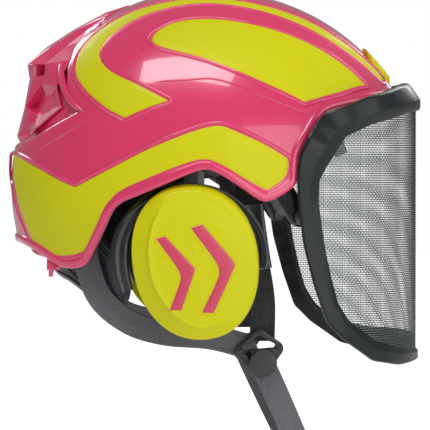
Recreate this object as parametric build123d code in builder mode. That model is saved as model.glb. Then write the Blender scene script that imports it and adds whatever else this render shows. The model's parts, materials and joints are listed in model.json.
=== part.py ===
from build123d import *
import os

# Forestry helmet: shell, inner harness, mesh visor, two ear muffs and a chin strap.
# +Z up, +X forward (visor side), +Y the wearer's left. Millimetres.
# Origin: the middle of the line through the centres of the two ear cups.

# ---------------------------------------------------------------- driving dimensions
DOME_X, DOME_Z = 17.0, 50.0            # centre of the crown ellipsoid
SHELL_FRONT, SHELL_REAR = 167.0, 152.0
SHELL_SIDE, SHELL_TOP = 115.0, 152.0
SHELL_T = 3.2                          # outer shell wall
PANEL_T = 1.2                          # coloured cover panels, inlaid in the shell
FIT = 0.15                             # gap round an inlaid part
NEAR = 0.05                            # gap between parts that are fixed together

INNER_X = 5.0                          # centre of the inner shell
INNER_FRONT, INNER_REAR = 128.0, 122.0
INNER_SIDE, INNER_TOP = 86.0, 122.0
INNER_T = 2.5

BAND_FRONT_X, BAND_REAR_X = 40.0, -30.0   # ends of the headband's straight sides
BAND_NOSE, BAND_NAPE, BAND_SIDE = 62.0, 64.0, 73.4
BAND_T = 1.8
BAND_SLOPE = 0.178                        # the band rises towards the brow
BAND_LOW, BAND_H = 54.4, 24.0             # lower edge at X = 0, and height

PIVOT_X, PIVOT_Z = 38.0, 92.0             # visor hinge
PIVOT_R = 4.0
RUN = 0.05                                # radial running clearance
ARM_Y, ARM_T, ARM_W = 83.0, 3.0, 16.0     # visor arm: inner face, thickness, width
STRUT_X, STRUT_Z, STRUT_R = 80.0, 28.0, 6.0

VISOR_X, VISOR_NOSE, VISOR_SIDE = 80.0, 106.0, 114.0   # plan ellipse of the visor frame
FRAME_T = 4.5
MESH_T = 0.8

CUP_Z = -2.0                              # ear cup centre height
CUP_W, CUP_H = 48.0, 55.0                 # half width and half height of the cover
HOUSING_W, HOUSING_H = 44.0, 49.0         # the housing behind it, inside the yoke
CUP_HINGE_Y, CUP_HINGE_Z = 100.0, 69.0    # swing-out hinge
TILT_Y, TILT_Z = 99.5, -3.0               # cup rocks in its yoke about this line
TILT_R = 2.5

SLIDER_X, SLIDER_Z = 53.0, -82.0          # chin strap slider button
STRAP_W, STRAP_T = 19.0, 1.4
LOOP_DEPTH = 90.0                         # chin loop, slider to chin
BUTTON_R = 10.5

KNOB_Z, KNOB_R = 36.0, 15.0

CROWN_PLANE = Plane(origin=(0, 0, 0), x_dir=(1, 0, 0), z_dir=(0, -0.6, 0.8))

# ---------------------------------------------------------------- outlines
RIM = [
    (-150, 8), (-128, 8), (-99, -9), (-77, -8), (-57, 36), (7, 65),
    (52, 38), (76, 50), (77, 72), (97, 106), (190, 122), (190, 220), (-150, 220),
]
RIM_RADIUS = 8.0

# Each outline is a chain of stretches: two points make a line, more make a smooth curve.
SIDE_PANEL = [
    [(-133.5, 75), (-113, 63.5), (-88, 50.5)],
    [(-88, 50.5), (-33, 79.5), (0, 92.5), (18, 95.5), (36, 88), (69, 72)],
    [(69, 72), (66.5, 56)],
    [(66.5, 56), (53, 47)],
    [(53, 47), (33, 57.5), (7, 69.7), (-28, 59), (-58.6, 43.5), (-72, 17), (-80, 2)],
    [(-80, 2), (-101, -2.5), (-116.5, 1.5)],
    [(-116.5, 1.5), (-127, 27), (-133.5, 58)],
    [(-133.5, 58), (-133.5, 75)],
]
CROWN_PANEL = [
    [(134.6, 29.7), (114, 37.5), (83, 45.5), (45, 52), (10, 55.5), (-16, 53.5), (-31, 40),
     (-22, 30), (16, 13), (57, -1.6), (83, -7.8)],
    [(83, -7.8), (110, 9), (134.6, 29.7)],
]
CROWN_BAND = [
    [(-51.7, -15.6), (-66, -2.5), (-80, 18), (-87, 40), (-82, 62), (-66, 77), (-44, 83),
     (-14, 84.5), (20, 84), (85, 76), (124, 65), (150, 56)],
    [(150, 56), (146, 47)],
    [(146, 47), (115, 56), (76, 66.5), (20, 76), (-11, 75), (-41, 69), (-60, 58.5),
     (-68, 44), (-61, 24), (-40, 4), (-18, -12.3)],
    [(-18, -12.3), (-51.7, -15.6)],
]
HOOD_SIDE = [
    (-45, 191), (-63, 184.5), (-86, 172), (-108, 157.5), (-122, 144.5), (-120.5, 131),
    (-126, 108), (-60, 100),
]
VISOR_OUTER = [
    (94, 104), (86, 92), (77, 75), (75, 60), (76, 38), (80, 10), (88, -22), (98, -50),
    (112, -66), (136, -83), (160, -88), (195, -87), (195, 138.5), (170, 130),
]
VISOR_WINDOW = [
    (131, 96), (112, 86), (99, 72), (92.5, 58), (92, 38), (97, 5), (106, -33),
    (116, -49), (138, -66), (160, -73), (200, -78), (200, 114.5), (184.5, 110),
]
NAPE_OUTLINE = [
    (-110, 55), (-110, -12), (-92, -22), (-80, -30), (-68, -45), (-52, -44), (-44, -30),
    (-52, -6), (-66, 12), (-84, 24), (-90, 55),
]
CHEVRON = [(-30, 12.5), (-22.5, 15.5), (-0.5, -10.5), (-11.5, -40.5), (-20.5, -40.5), (-11.5, -12)]
CHEVRON_STEP = (26.5, 6.5)                # the second chevron is larger and further forward
CHEVRON_SCALE = 1.13


# ---------------------------------------------------------------- shared shapes
def crown_solid(centre_x, front, rear, side, top):
    """A solid crown: a front and a rear half ellipsoid about DOME_Z."""
    with BuildPart() as crown:
        with BuildSketch(Plane((centre_x, 0, DOME_Z), x_dir=(1, 0, 0), z_dir=(0, -1, 0))):
            with BuildLine():
                EllipticalCenterArc((0, 0), front, top, 0, arc_size=90)
                EllipticalCenterArc((0, 0), rear, top, 90, arc_size=90)
                Line((-rear, 0), (front, 0))
            make_face()
        revolve(axis=Axis((centre_x, 0, DOME_Z), (1, 0, 0)))
        scale(by=(1, side / top, 1))
    return crown.part


def shell_crown(gap):
    """The outer shell's outer surface, moved inwards by gap."""
    return crown_solid(
        DOME_X, SHELL_FRONT - gap, SHELL_REAR - gap, SHELL_SIDE - gap, SHELL_TOP - gap
    )


def inner_crown(gap):
    """The inner shell's outer surface, moved inwards by gap."""
    return crown_solid(
        INNER_X, INNER_FRONT - gap, INNER_REAR - gap, INNER_SIDE - gap, INNER_TOP - gap
    )


def draw_outline(stretches):
    """Draw a chain of lines and smooth curves in the current line builder."""
    for stretch in stretches:
        if len(stretch) == 2:
            Line(*stretch)
        else:
            Spline(*stretch)


def skin_patch(plane, stretches, outer_gap, inner_gap):
    """The piece of crown skin that an outline cuts out on the wearer's right."""
    with BuildPart() as patch:
        add(shell_crown(outer_gap))
        add(shell_crown(inner_gap), mode=Mode.SUBTRACT)
        with BuildSketch(plane.offset(8)):
            with BuildLine():
                draw_outline(stretches)
            make_face()
        extrude(amount=SHELL_TOP * 2, mode=Mode.INTERSECT)
    return patch


def mirrored(builder):
    """The same piece on the wearer's left."""
    with BuildPart() as other:
        mirror(builder.part, about=Plane.XZ)
    return other


def side_prism(points, radius, near, far, right_only=False):
    """An XZ outline with rounded corners, between two distances from the middle plane."""
    with BuildPart() as prism:
        with BuildSketch(Plane.XZ.offset(near)) as face:
            with BuildLine():
                Polyline(*points, close=True)
            make_face()
            if radius:
                fillet(face.vertices(), radius)
        extrude(amount=far - near)
        if not right_only:
            mirror(about=Plane.XZ)
    return prism.part


def flat_strap(plane, path):
    """Webbing that lies flat in a nearly upright plane, on the wearer's right."""
    with BuildPart() as strap:
        with BuildSketch(plane):
            with BuildLine():
                Spline(*path)
            trace(line_width=STRAP_W)
        extrude(amount=STRAP_T)
    return strap


def band_wall(offset_in, thickness):
    """The headband's plan: straight sides and two elliptical ends, as a tall thin wall."""
    with BuildPart() as wall:
        with BuildSketch(Plane.XY.offset(-20)):
            for inset, mode in ((offset_in, Mode.ADD), (offset_in + thickness, Mode.SUBTRACT)):
                side = BAND_SIDE - inset
                with BuildLine():
                    EllipticalCenterArc(
                        (BAND_FRONT_X, 0), BAND_NOSE - inset, side, -90, arc_size=180
                    )
                    Line((BAND_FRONT_X, side), (BAND_REAR_X, side))
                    EllipticalCenterArc(
                        (BAND_REAR_X, 0), BAND_NAPE - inset, side, 90, arc_size=180
                    )
                    Line((BAND_REAR_X, -side), (BAND_FRONT_X, -side))
                make_face(mode=mode)
        extrude(amount=160)
    return wall.part


def band_slab(x_low, x_high, inset=0.0):
    """The sloping slice that gives the headband its height."""
    low, high = BAND_LOW + inset, BAND_LOW + BAND_H - inset
    points = [
        (x_low, low + BAND_SLOPE * x_low), (x_high, low + BAND_SLOPE * x_high),
        (x_high, high + BAND_SLOPE * x_high), (x_low, high + BAND_SLOPE * x_low),
    ]
    return side_prism(points, 0, 0, 90)


# ---------------------------------------------------------------- shell and its panels
side_panel_right = skin_patch(Plane.XZ, SIDE_PANEL, 0, PANEL_T)
crown_panel_right = skin_patch(CROWN_PLANE, CROWN_PANEL, 0, PANEL_T)
crown_band_right = skin_patch(CROWN_PLANE, CROWN_BAND, 0, PANEL_T)
side_panel_left = mirrored(side_panel_right)
crown_panel_left = mirrored(crown_panel_right)
crown_band_left = mirrored(crown_band_right)

with BuildPart() as outer_shell:
    add(shell_crown(0))
    add(shell_crown(SHELL_T), mode=Mode.SUBTRACT)
    add(side_prism(RIM, RIM_RADIUS, 0, SHELL_SIDE + 5), mode=Mode.INTERSECT)
    for plane, stretches in (
        (Plane.XZ, SIDE_PANEL), (CROWN_PLANE, CROWN_PANEL), (CROWN_PLANE, CROWN_BAND)
    ):
        pocket = skin_patch(plane, stretches, -1, PANEL_T + 2 * NEAR)
        add(pocket.part, mode=Mode.SUBTRACT)
        add(mirrored(pocket).part, mode=Mode.SUBTRACT)
    # vent slots under the rear hood
    with BuildSketch(Plane.XY.offset(DOME_Z + 70)):
        with Locations((-80, 0)):
            with GridLocations(20, 0, 3, 1):
                SlotOverall(34, 9)
    extrude(amount=SHELL_TOP - 60, mode=Mode.SUBTRACT)

HOOD_HALF_WIDTH, HOOD_TAPER = 38.0, 16.0
MOUTH_H, MOUTH_DEPTH = 5.0, 14.0          # louvre mouths in the hood
MOUTHS = [(150, 38), (134, 44)]           # height and width of each mouth

with BuildPart() as rear_vent_hood:
    with BuildSketch(Plane.XZ) as hood_side:
        with BuildLine():
            Polyline(*HOOD_SIDE, close=True)
        make_face()
    extrude(amount=HOOD_HALF_WIDTH, taper=HOOD_TAPER)
    mirror(about=Plane.XZ)
    add(shell_crown(-2 * NEAR), mode=Mode.SUBTRACT)
    # louvre mouths, open to the rear
    with BuildSketch(Plane.YZ.offset(-124)):
        for height, width in MOUTHS:
            with Locations((0, height)):
                Rectangle(width, MOUTH_H)
    extrude(amount=MOUTH_DEPTH, mode=Mode.SUBTRACT)

CAP_RISE = 3.2                            # the brow cap stands this far off the crown

with BuildPart() as front_cap:
    add(shell_crown(-CAP_RISE))
    add(shell_crown(-2 * NEAR), mode=Mode.SUBTRACT)
    with BuildSketch(Plane.XY.offset(110)) as cap_plan:
        with BuildLine():
            Polyline((140, -24), (158, -20), (158, 20), (140, 24), close=True)
        make_face()
        fillet(cap_plan.vertices(), 4)
    extrude(amount=60, mode=Mode.INTERSECT)

INNER_RIM = [
    (-140, 64), (-84, 64), (-60, 78), (48, 80), (70, 98), (150, 108), (150, 190), (-140, 190),
]
with BuildPart() as inner_shell:
    add(inner_crown(0))
    add(inner_crown(INNER_T), mode=Mode.SUBTRACT)
    add(side_prism(INNER_RIM, 5, 0, INNER_SIDE + 10), mode=Mode.INTERSECT)
    # air slots along the crown
    with BuildSketch(Plane.XY.offset(100)):
        with GridLocations(60, 44, 3, 2):
            SlotOverall(40, 12)
    extrude(amount=100, mode=Mode.SUBTRACT)

# posts that carry the inner shell on the outer one
POSTS = [(-45, 112), (58, 124)]
POST_R = 6.0
with BuildPart() as spacer_posts:
    with BuildSketch(Plane.XZ):
        with Locations(*POSTS):
            Circle(POST_R)
    extrude(amount=SHELL_SIDE, both=True)
    add(shell_crown(SHELL_T + NEAR), mode=Mode.INTERSECT)
    add(inner_crown(-NEAR), mode=Mode.SUBTRACT)

# hooks under the rear rim that hold a goggle or lamp strap
HOOK = [(-107, -3), (-98, -7), (-98, -13), (-103, -13), (-104, -18), (-107, -18)]
HOOK_Y, HOOK_T = 52.0, 3.0
with BuildPart() as strap_hooks:
    add(side_prism(HOOK, 0, HOOK_Y, HOOK_Y + HOOK_T))
    add(outer_shell.part, mode=Mode.SUBTRACT)

# ---------------------------------------------------------------- headband and nape
with BuildPart() as headband:
    add(band_wall(0, BAND_T))
    add(band_slab(-24, 110), mode=Mode.INTERSECT)

SWEATBAND_T = 3.2
with BuildPart() as sweatband:
    add(band_wall(BAND_T + 0.3, SWEATBAND_T))
    add(band_slab(46, 110, 2), mode=Mode.INTERSECT)

with BuildPart() as headband_rear:
    add(band_wall(BAND_T + 0.5, BAND_T))
    add(band_slab(-100, -4, 3), mode=Mode.INTERSECT)

CLIP_SPOTS = [(92, 34), (30, 74.5)]
with BuildPart() as headband_clips:
    with BuildSketch(Plane.XY.offset(76)):
        for x, y in CLIP_SPOTS:
            with Locations((x, y), (x, -y)):
                Rectangle(14, 24)
    extrude(amount=14)
    # kept outside the headband
    clip_side = BAND_SIDE + 2 * NEAR
    with BuildSketch(Plane.XY.offset(60)):
        with BuildLine():
            EllipticalCenterArc(
                (BAND_FRONT_X, 0), BAND_NOSE + 2 * NEAR, clip_side, -90, arc_size=180
            )
            Polyline(
                (BAND_FRONT_X, clip_side), (BAND_REAR_X, clip_side),
                (BAND_REAR_X, -clip_side), (BAND_FRONT_X, -clip_side)
            )
        make_face()
    extrude(amount=60, mode=Mode.SUBTRACT)
    add(inner_crown(INNER_T + NEAR), mode=Mode.INTERSECT)

STRAP_DOME = 12.0                         # crown straps lie this far inside the inner shell
CROWN_STRAP_W = 18.0
PAD_GAP, PAD_T, PAD_R = 0.3, 6.0, 34.0
with BuildPart() as crown_straps:
    add(inner_crown(STRAP_DOME))
    add(inner_crown(STRAP_DOME + STRAP_T), mode=Mode.SUBTRACT)
    with BuildSketch(Plane.XY.offset(90)):
        Rectangle(300, CROWN_STRAP_W)
        with Locations((INNER_X, 0)):
            Rectangle(CROWN_STRAP_W, 300)
    extrude(amount=100, mode=Mode.INTERSECT)

with BuildPart() as crown_pad:
    add(inner_crown(STRAP_DOME + STRAP_T + PAD_GAP))
    add(inner_crown(STRAP_DOME + STRAP_T + PAD_GAP + PAD_T), mode=Mode.SUBTRACT)
    with BuildSketch(Plane.XY.offset(100)):
        with Locations((INNER_X, 0)):
            Circle(PAD_R)
    extrude(amount=100, mode=Mode.INTERSECT)

NAPE_X, NAPE_DEPTH, NAPE_SIDE, NAPE_T = -40.0, 62.0, 64.0, 3.0


def nape_wall(gap, thickness):
    """The plan of the nape cradle: a half ellipse open to the front."""
    with BuildPart() as wall:
        with BuildSketch(Plane.XY.offset(-60)):
            with Locations((NAPE_X, 0)):
                Ellipse(NAPE_DEPTH - gap, NAPE_SIDE - gap)
                Ellipse(NAPE_DEPTH - gap - thickness, NAPE_SIDE - gap - thickness, mode=Mode.SUBTRACT)
        extrude(amount=140)
    return wall.part


with BuildPart() as nape_cradle:
    add(nape_wall(0, NAPE_T))
    add(side_prism(NAPE_OUTLINE, 4, 0, 90), mode=Mode.INTERSECT)

NAPE_PAD_OUTLINE = [
    (-110, 8), (-110, -8), (-92, -17), (-76, -28), (-66, -36), (-58, -30), (-72, 2), (-88, 12),
]
NAPE_PAD_T = 5.0
with BuildPart() as nape_pad:
    add(nape_wall(NAPE_T + 0.2, NAPE_PAD_T))
    add(side_prism(NAPE_PAD_OUTLINE, 3, 0, 90), mode=Mode.INTERSECT)

HOUSING_X = NAPE_X - NAPE_DEPTH - 0.1     # front face of the adjuster housing
ADJUSTER_T, KNOB_T = 9.0, 9.0
with BuildPart() as adjuster_housing:
    with BuildSketch(Plane.YZ.offset(HOUSING_X)):
        with Locations((0, KNOB_Z)):
            RectangleRounded(46, 22, 4)
            Circle(14)
    extrude(amount=-ADJUSTER_T)
    add(nape_wall(-2 * NEAR, NAPE_DEPTH - 10), mode=Mode.SUBTRACT)
    # stub that the knob turns on
    with BuildSketch(Plane.YZ.offset(HOUSING_X - ADJUSTER_T)):
        with Locations((0, KNOB_Z)):
            Circle(PIVOT_R)
    extrude(amount=1 - KNOB_T)

with BuildPart() as adjuster_knob:
    with BuildSketch(Plane.YZ.offset(HOUSING_X - ADJUSTER_T - 0.4)):
        with Locations((0, KNOB_Z)):
            Circle(KNOB_R)
            with PolarLocations(KNOB_R + 1.0, 16):
                Circle(1.8, mode=Mode.SUBTRACT)
            Circle(PIVOT_R + RUN, mode=Mode.SUBTRACT)
    extrude(amount=-KNOB_T)

# ---------------------------------------------------------------- visor
VISOR_LIP = 13.0                          # the lip under the top bar reaches this far inwards
with BuildPart() as visor_ring:
    with BuildSketch(Plane.XY.offset(-100)):
        with Locations((VISOR_X, 0)):
            Ellipse(VISOR_NOSE, VISOR_SIDE)
            Ellipse(VISOR_NOSE - FRAME_T, VISOR_SIDE - FRAME_T, mode=Mode.SUBTRACT)
    extrude(amount=260)

with BuildPart() as visor_lip:
    with BuildSketch(Plane.XY.offset(80)):
        with Locations((VISOR_X, 0)):
            Ellipse(VISOR_NOSE - 1, VISOR_SIDE - 1)
            Ellipse(
                VISOR_NOSE - 1 - VISOR_LIP, VISOR_SIDE - 1 - VISOR_LIP, mode=Mode.SUBTRACT
            )
    extrude(amount=70)
    lip_slice = [(92, 99.3), (195, 133.6), (195, 136.8), (92, 102.5)]
    add(side_prism(lip_slice, 0, 0, 120), mode=Mode.INTERSECT)

with BuildPart() as visor_frame:
    add(visor_ring.part)
    add(side_prism(VISOR_OUTER, 0, 0, 120), mode=Mode.INTERSECT)
    add(side_prism(VISOR_WINDOW, 0, 0, 120), mode=Mode.SUBTRACT)
    add(visor_lip.part)

MESH_GAP = FRAME_T + FIT
MESH_OVERLAP = 3.5                        # how far the mesh reaches behind the frame
with BuildPart() as visor_mesh:
    with BuildSketch(Plane.XY.offset(-100)):
        with Locations((VISOR_X, 0)):
            Ellipse(VISOR_NOSE - MESH_GAP, VISOR_SIDE - MESH_GAP)
            Ellipse(
                VISOR_NOSE - MESH_GAP - MESH_T, VISOR_SIDE - MESH_GAP - MESH_T, mode=Mode.SUBTRACT
            )
    extrude(amount=260)
    with BuildSketch(Plane.XZ):
        with BuildLine():
            Polyline(*VISOR_WINDOW, close=True)
        make_face()
        offset(amount=MESH_OVERLAP, kind=Kind.INTERSECTION)
    extrude(amount=130, both=True, mode=Mode.INTERSECT)

MESH_CLIP = [(112, 78), (121, 83), (124, 75), (115, 72)]
MESH_CLIP_T = 4.9
with BuildPart() as mesh_clips:
    add(side_prism(MESH_CLIP, 1.5, 80, 130))
    clip_gap = MESH_GAP + MESH_T + 0.1
    with BuildSketch(Plane.XY.offset(60)):
        with Locations((VISOR_X, 0)):
            Ellipse(VISOR_NOSE - clip_gap, VISOR_SIDE - clip_gap)
            Ellipse(
                VISOR_NOSE - clip_gap - MESH_CLIP_T, VISOR_SIDE - clip_gap - MESH_CLIP_T,
                mode=Mode.SUBTRACT
            )
    extrude(amount=40, mode=Mode.INTERSECT)

with BuildPart() as visor_arm_right:
    with BuildSketch(Plane.XZ.offset(ARM_Y)):
        with BuildLine():
            Line((PIVOT_X, PIVOT_Z), (STRUT_X, STRUT_Z))
        trace(line_width=ARM_W)
        with Locations((PIVOT_X, PIVOT_Z), (STRUT_X, STRUT_Z)):
            Circle(ARM_W / 2)
        with Locations((PIVOT_X, PIVOT_Z)):
            Circle(PIVOT_R + RUN, mode=Mode.SUBTRACT)
    extrude(amount=ARM_T)
    with BuildSketch(Plane.XZ.offset(ARM_Y)):
        with Locations((STRUT_X, STRUT_Z)):
            Circle(STRUT_R)
    extrude(amount=VISOR_SIDE - FRAME_T - ARM_Y - 0.2)
visor_arm_left = mirrored(visor_arm_right)

BRACKET_Y = ARM_Y + ARM_T + 0.5
BRACKET = [(24, 84), (38, 80), (52, 84), (52, 102), (24, 102)]
with BuildPart() as visor_brackets:
    add(side_prism(BRACKET, 3, BRACKET_Y, SHELL_SIDE + 5))
    add(shell_crown(SHELL_T + NEAR), mode=Mode.INTERSECT)
    with BuildSketch(Plane.XZ):
        with Locations((PIVOT_X, PIVOT_Z)):
            Circle(PIVOT_R + RUN)
    extrude(amount=100, both=True, mode=Mode.SUBTRACT)

PIN_L, PIN_HEAD_R, PIN_HEAD_T = 15.0, 7.0, 1.6
with BuildPart() as visor_pivot_pins:
    with BuildSketch(Plane.XZ.offset(ARM_Y - 0.3)):
        with Locations((PIVOT_X, PIVOT_Z)):
            Circle(PIVOT_R)
    extrude(amount=PIN_L)
    with BuildSketch(Plane.XZ.offset(ARM_Y - 0.3)):
        with Locations((PIVOT_X, PIVOT_Z)):
            Circle(PIN_HEAD_R)
    extrude(amount=-PIN_HEAD_T)
    mirror(about=Plane.XZ)

# ---------------------------------------------------------------- ear muffs, right side
LUG_X, LUG_T, LUG_GAP = 9.0, 7.0, 0.3     # hinge lugs start at LUG_X from the middle
LUG_R, LUG_REACH = 6.0, 16.0              # round end, and reach out and up to the shell
with BuildPart() as muff_brackets:
    with BuildSketch(Plane.YZ.offset(LUG_X)):
        with Locations((-CUP_HINGE_Y, CUP_HINGE_Z)):
            Circle(LUG_R)
        with BuildLine():
            Polyline(
                (-CUP_HINGE_Y + LUG_R, CUP_HINGE_Z), (-CUP_HINGE_Y - LUG_REACH, CUP_HINGE_Z),
                (-CUP_HINGE_Y - LUG_REACH, CUP_HINGE_Z + LUG_REACH),
                (-CUP_HINGE_Y + 2, CUP_HINGE_Z + LUG_REACH), close=True
            )
        make_face()
        with Locations((-CUP_HINGE_Y, CUP_HINGE_Z)):
            Circle(TILT_R + RUN, mode=Mode.SUBTRACT)
    extrude(amount=LUG_T)
    mirror(about=Plane.YZ)
    with BuildSketch(Plane.XY.offset(CUP_HINGE_Z + 8)):
        with Locations((0, -CUP_HINGE_Y - 4)):
            Rectangle(2 * LUG_X + 2, 20)
    extrude(amount=8)
    mirror(about=Plane.XZ)
    add(shell_crown(SHELL_T + NEAR), mode=Mode.INTERSECT)

with BuildPart() as muff_hinge_pins:
    with BuildSketch(Plane.YZ.offset(-LUG_X - LUG_T)):
        with Locations((-CUP_HINGE_Y, CUP_HINGE_Z), (CUP_HINGE_Y, CUP_HINGE_Z)):
            Circle(TILT_R)
    extrude(amount=2 * (LUG_X + LUG_T))

YOKE_X = -2.0
YOKE_W, YOKE_H, YOKE_BAR = 57.0, 54.4, 4.6
YOKE_Y, YOKE_T = 97.0, 4.0
TILT_BOSS_R = 5.0
BARREL_R = 5.6                            # hinge barrel at the top of the yoke
with BuildPart() as muff_arm_right:
    with BuildSketch(Plane.XZ.offset(YOKE_Y)):
        with Locations((YOKE_X, CUP_Z)):
            Ellipse(YOKE_W, YOKE_H)
            Ellipse(YOKE_W - YOKE_BAR, YOKE_H - YOKE_BAR, mode=Mode.SUBTRACT)
        # open below the two tilt pins
        with Locations((0, -70)):
            Rectangle(140, 116, mode=Mode.SUBTRACT)
        with Locations((YOKE_X - YOKE_W + 3.4, TILT_Z), (YOKE_X + YOKE_W - 3.4, TILT_Z)):
            Circle(TILT_BOSS_R)
        with Locations((0, CUP_Z + YOKE_H + 5)):
            Rectangle(16, 14)
    extrude(amount=YOKE_T)
    with BuildSketch(Plane.YZ.offset(-LUG_X + LUG_GAP)):
        with Locations((-CUP_HINGE_Y, CUP_HINGE_Z)):
            Circle(BARREL_R)
        with Locations((-CUP_HINGE_Y + 1, CUP_HINGE_Z - 5)):
            Rectangle(4, 8)
        with Locations((-CUP_HINGE_Y, CUP_HINGE_Z)):
            Circle(TILT_R + RUN, mode=Mode.SUBTRACT)
    extrude(amount=2 * (LUG_X - LUG_GAP))
    # tilt pins, from each end of the yoke into the cup housing
    with BuildSketch(Plane.YZ.offset(YOKE_X - YOKE_W + 4)):
        with Locations((-TILT_Y, TILT_Z)):
            Circle(TILT_R)
    extrude(amount=15)
    with BuildSketch(Plane.YZ.offset(YOKE_X + YOKE_W - 4)):
        with Locations((-TILT_Y, TILT_Z)):
            Circle(TILT_R)
    extrude(amount=-13)
muff_arm_left = mirrored(muff_arm_right)

HOUSING_Y, HOUSING_T = 91.0, 13.0
with BuildPart() as cup_housing_right:
    with BuildSketch(Plane.XZ.offset(HOUSING_Y)):
        with Locations((0, CUP_Z)):
            Ellipse(HOUSING_W, HOUSING_H)
    extrude(amount=HOUSING_T)
    with BuildSketch(Plane.XZ.offset(HOUSING_Y)):
        with Locations((0, CUP_Z)):
            Ellipse(HOUSING_W - 7, HOUSING_H - 6)
    extrude(amount=HOUSING_T - 2.5, mode=Mode.SUBTRACT)
    with BuildSketch(Plane.YZ.offset(-60)):
        with Locations((-TILT_Y, TILT_Z)):
            Circle(TILT_R + RUN)
    extrude(amount=120, mode=Mode.SUBTRACT)

COVER_Y, COVER_T = HOUSING_Y + HOUSING_T + 0.1, 13.0
with BuildPart() as cup_cover_right:
    with BuildSketch(Plane.XZ.offset(COVER_Y)):
        with Locations((0, CUP_Z)):
            Ellipse(CUP_W, CUP_H)
    extrude(amount=COVER_T)
    fillet(cup_cover_right.edges().group_by(Axis.Y)[0], 8)


def chevrons(grow, near, far):
    """The two V inlays on the cover, pointing forward."""
    with BuildPart() as inlay:
        with BuildSketch(Plane.XZ.offset(near)) as face:
            with BuildLine():
                Polyline(*CHEVRON, close=True)
            make_face()
            with BuildLine():
                Polyline(
                    *[(x * CHEVRON_SCALE + CHEVRON_STEP[0], z * CHEVRON_SCALE + CHEVRON_STEP[1])
                      for x, z in CHEVRON], close=True
                )
            make_face()
            fillet(face.vertices(), 1.5)
            if grow:
                offset(amount=grow)
        extrude(amount=far - near)
    return inlay


INLAY_Y = COVER_Y + COVER_T
cup_chevrons_right = chevrons(0, INLAY_Y - 1.0, INLAY_Y)
with BuildPart() as cup_cover_pocketed:
    add(cup_cover_right.part)
    add(chevrons(FIT, INLAY_Y - 1.1, INLAY_Y + 1).part, mode=Mode.SUBTRACT)
cup_cover_right = cup_cover_pocketed

with BuildPart() as ear_cushion_right:
    with BuildSketch(Plane.XZ.offset(79)):
        with Locations((0, CUP_Z)):
            Ellipse(CUP_W - 4, CUP_H - 4)
            Ellipse(CUP_W - 24, CUP_H - 22, mode=Mode.SUBTRACT)
    extrude(amount=11.8)

with BuildPart() as ear_foam_right:
    with BuildSketch(Plane.XZ.offset(HOUSING_Y + 0.4)):
        with Locations((0, CUP_Z)):
            Ellipse(HOUSING_W - 9, HOUSING_H - 8)
    extrude(amount=9)
    with BuildSketch(Plane.YZ.offset(-60)):
        with Locations((-TILT_Y, TILT_Z)):
            Circle(TILT_R + 1)
    extrude(amount=120, mode=Mode.SUBTRACT)

cup_cover_left = mirrored(cup_cover_right)
cup_chevrons_left = mirrored(cup_chevrons_right)
cup_housing_left = mirrored(cup_housing_right)
ear_cushion_left = mirrored(ear_cushion_right)
ear_foam_left = mirrored(ear_foam_right)

# ---------------------------------------------------------------- chin strap
FRONT_PATH = [(43, 60), (45, 34), (50, 0), (54, -34), (53, -66)]
REAR_PATH = [(-81, 16), (-78, -8), (-68, -34), (-46, -52), (-20, -60), (14, -63), (42, -70)]
FRONT_Y, LOWER_Y, RING_Y = 74.8, 71.4, 76.5
SLEEVE_WALL = 0.9
# the rear strap leans in towards the nape
REAR_PLANE = Plane(origin=(0, -69.9, 0), x_dir=(1, -0.075, 0), z_dir=(-0.075, -1, 0))
chin_strap_front_right = flat_strap(Plane.XZ.offset(FRONT_Y), FRONT_PATH)
chin_strap_rear_right = flat_strap(REAR_PLANE, REAR_PATH)
chin_strap_front_left = mirrored(chin_strap_front_right)
chin_strap_rear_left = mirrored(chin_strap_rear_right)

with BuildPart() as strap_sleeves:
    # glossy sleeves that keep the front straps flat beside the visor arms
    with BuildSketch(Plane.XZ.offset(FRONT_Y - SLEEVE_WALL)):
        with BuildLine():
            Spline(*FRONT_PATH[:4])
        trace(line_width=STRAP_W + 3)
    extrude(amount=STRAP_T + 2 * SLEEVE_WALL)
    add(side_prism([(20, 38), (80, 38), (80, -14), (20, -14)], 0, 60, 90, True), mode=Mode.INTERSECT)
    with BuildSketch(Plane.XZ.offset(FRONT_Y - 0.1)):
        with BuildLine():
            Spline(*FRONT_PATH)
        trace(line_width=STRAP_W + 0.2)
    extrude(amount=STRAP_T + 0.2, mode=Mode.SUBTRACT)
    mirror(about=Plane.XZ)

with BuildPart() as strap_anchors:
    # anchors that rivet the strap ends to the inside of the shell
    for x, z, inner_face in ((35, 56, FRONT_Y + STRAP_T + 0.1), (-81, 14, 66.2)):
        with BuildSketch(Plane.XZ.offset(inner_face)):
            with Locations((x, z)):
                RectangleRounded(10, 10, 2)
        extrude(amount=40)
    mirror(about=Plane.XZ)
    add(shell_crown(SHELL_T + NEAR), mode=Mode.INTERSECT)

RING = [(50, -55), (30, -73), (52, -97), (71, -70)]
RING_HOLE = [(50, -61.5), (38, -72.5), (66, -70)]
RING_T, STEM_R = 3.0, 3.0
with BuildPart() as strap_slider_right:
    with BuildSketch(Plane.XZ.offset(RING_Y)) as ring:
        with BuildLine():
            Polyline(*RING, close=True)
        make_face()
        fillet(ring.vertices(), 6)
    extrude(amount=RING_T)
    with BuildSketch(Plane.XZ.offset(RING_Y)) as ring_hole:
        with BuildLine():
            Polyline(*RING_HOLE, close=True)
        make_face()
        fillet(ring_hole.vertices(), 1.5)
    extrude(amount=RING_T, mode=Mode.SUBTRACT)
    with BuildSketch(Plane.XZ.offset(RING_Y)):
        with Locations((SLIDER_X, SLIDER_Z)):
            Circle(STEM_R + RUN)
    extrude(amount=RING_T, mode=Mode.SUBTRACT)
strap_slider_left = mirrored(strap_slider_right)

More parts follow.
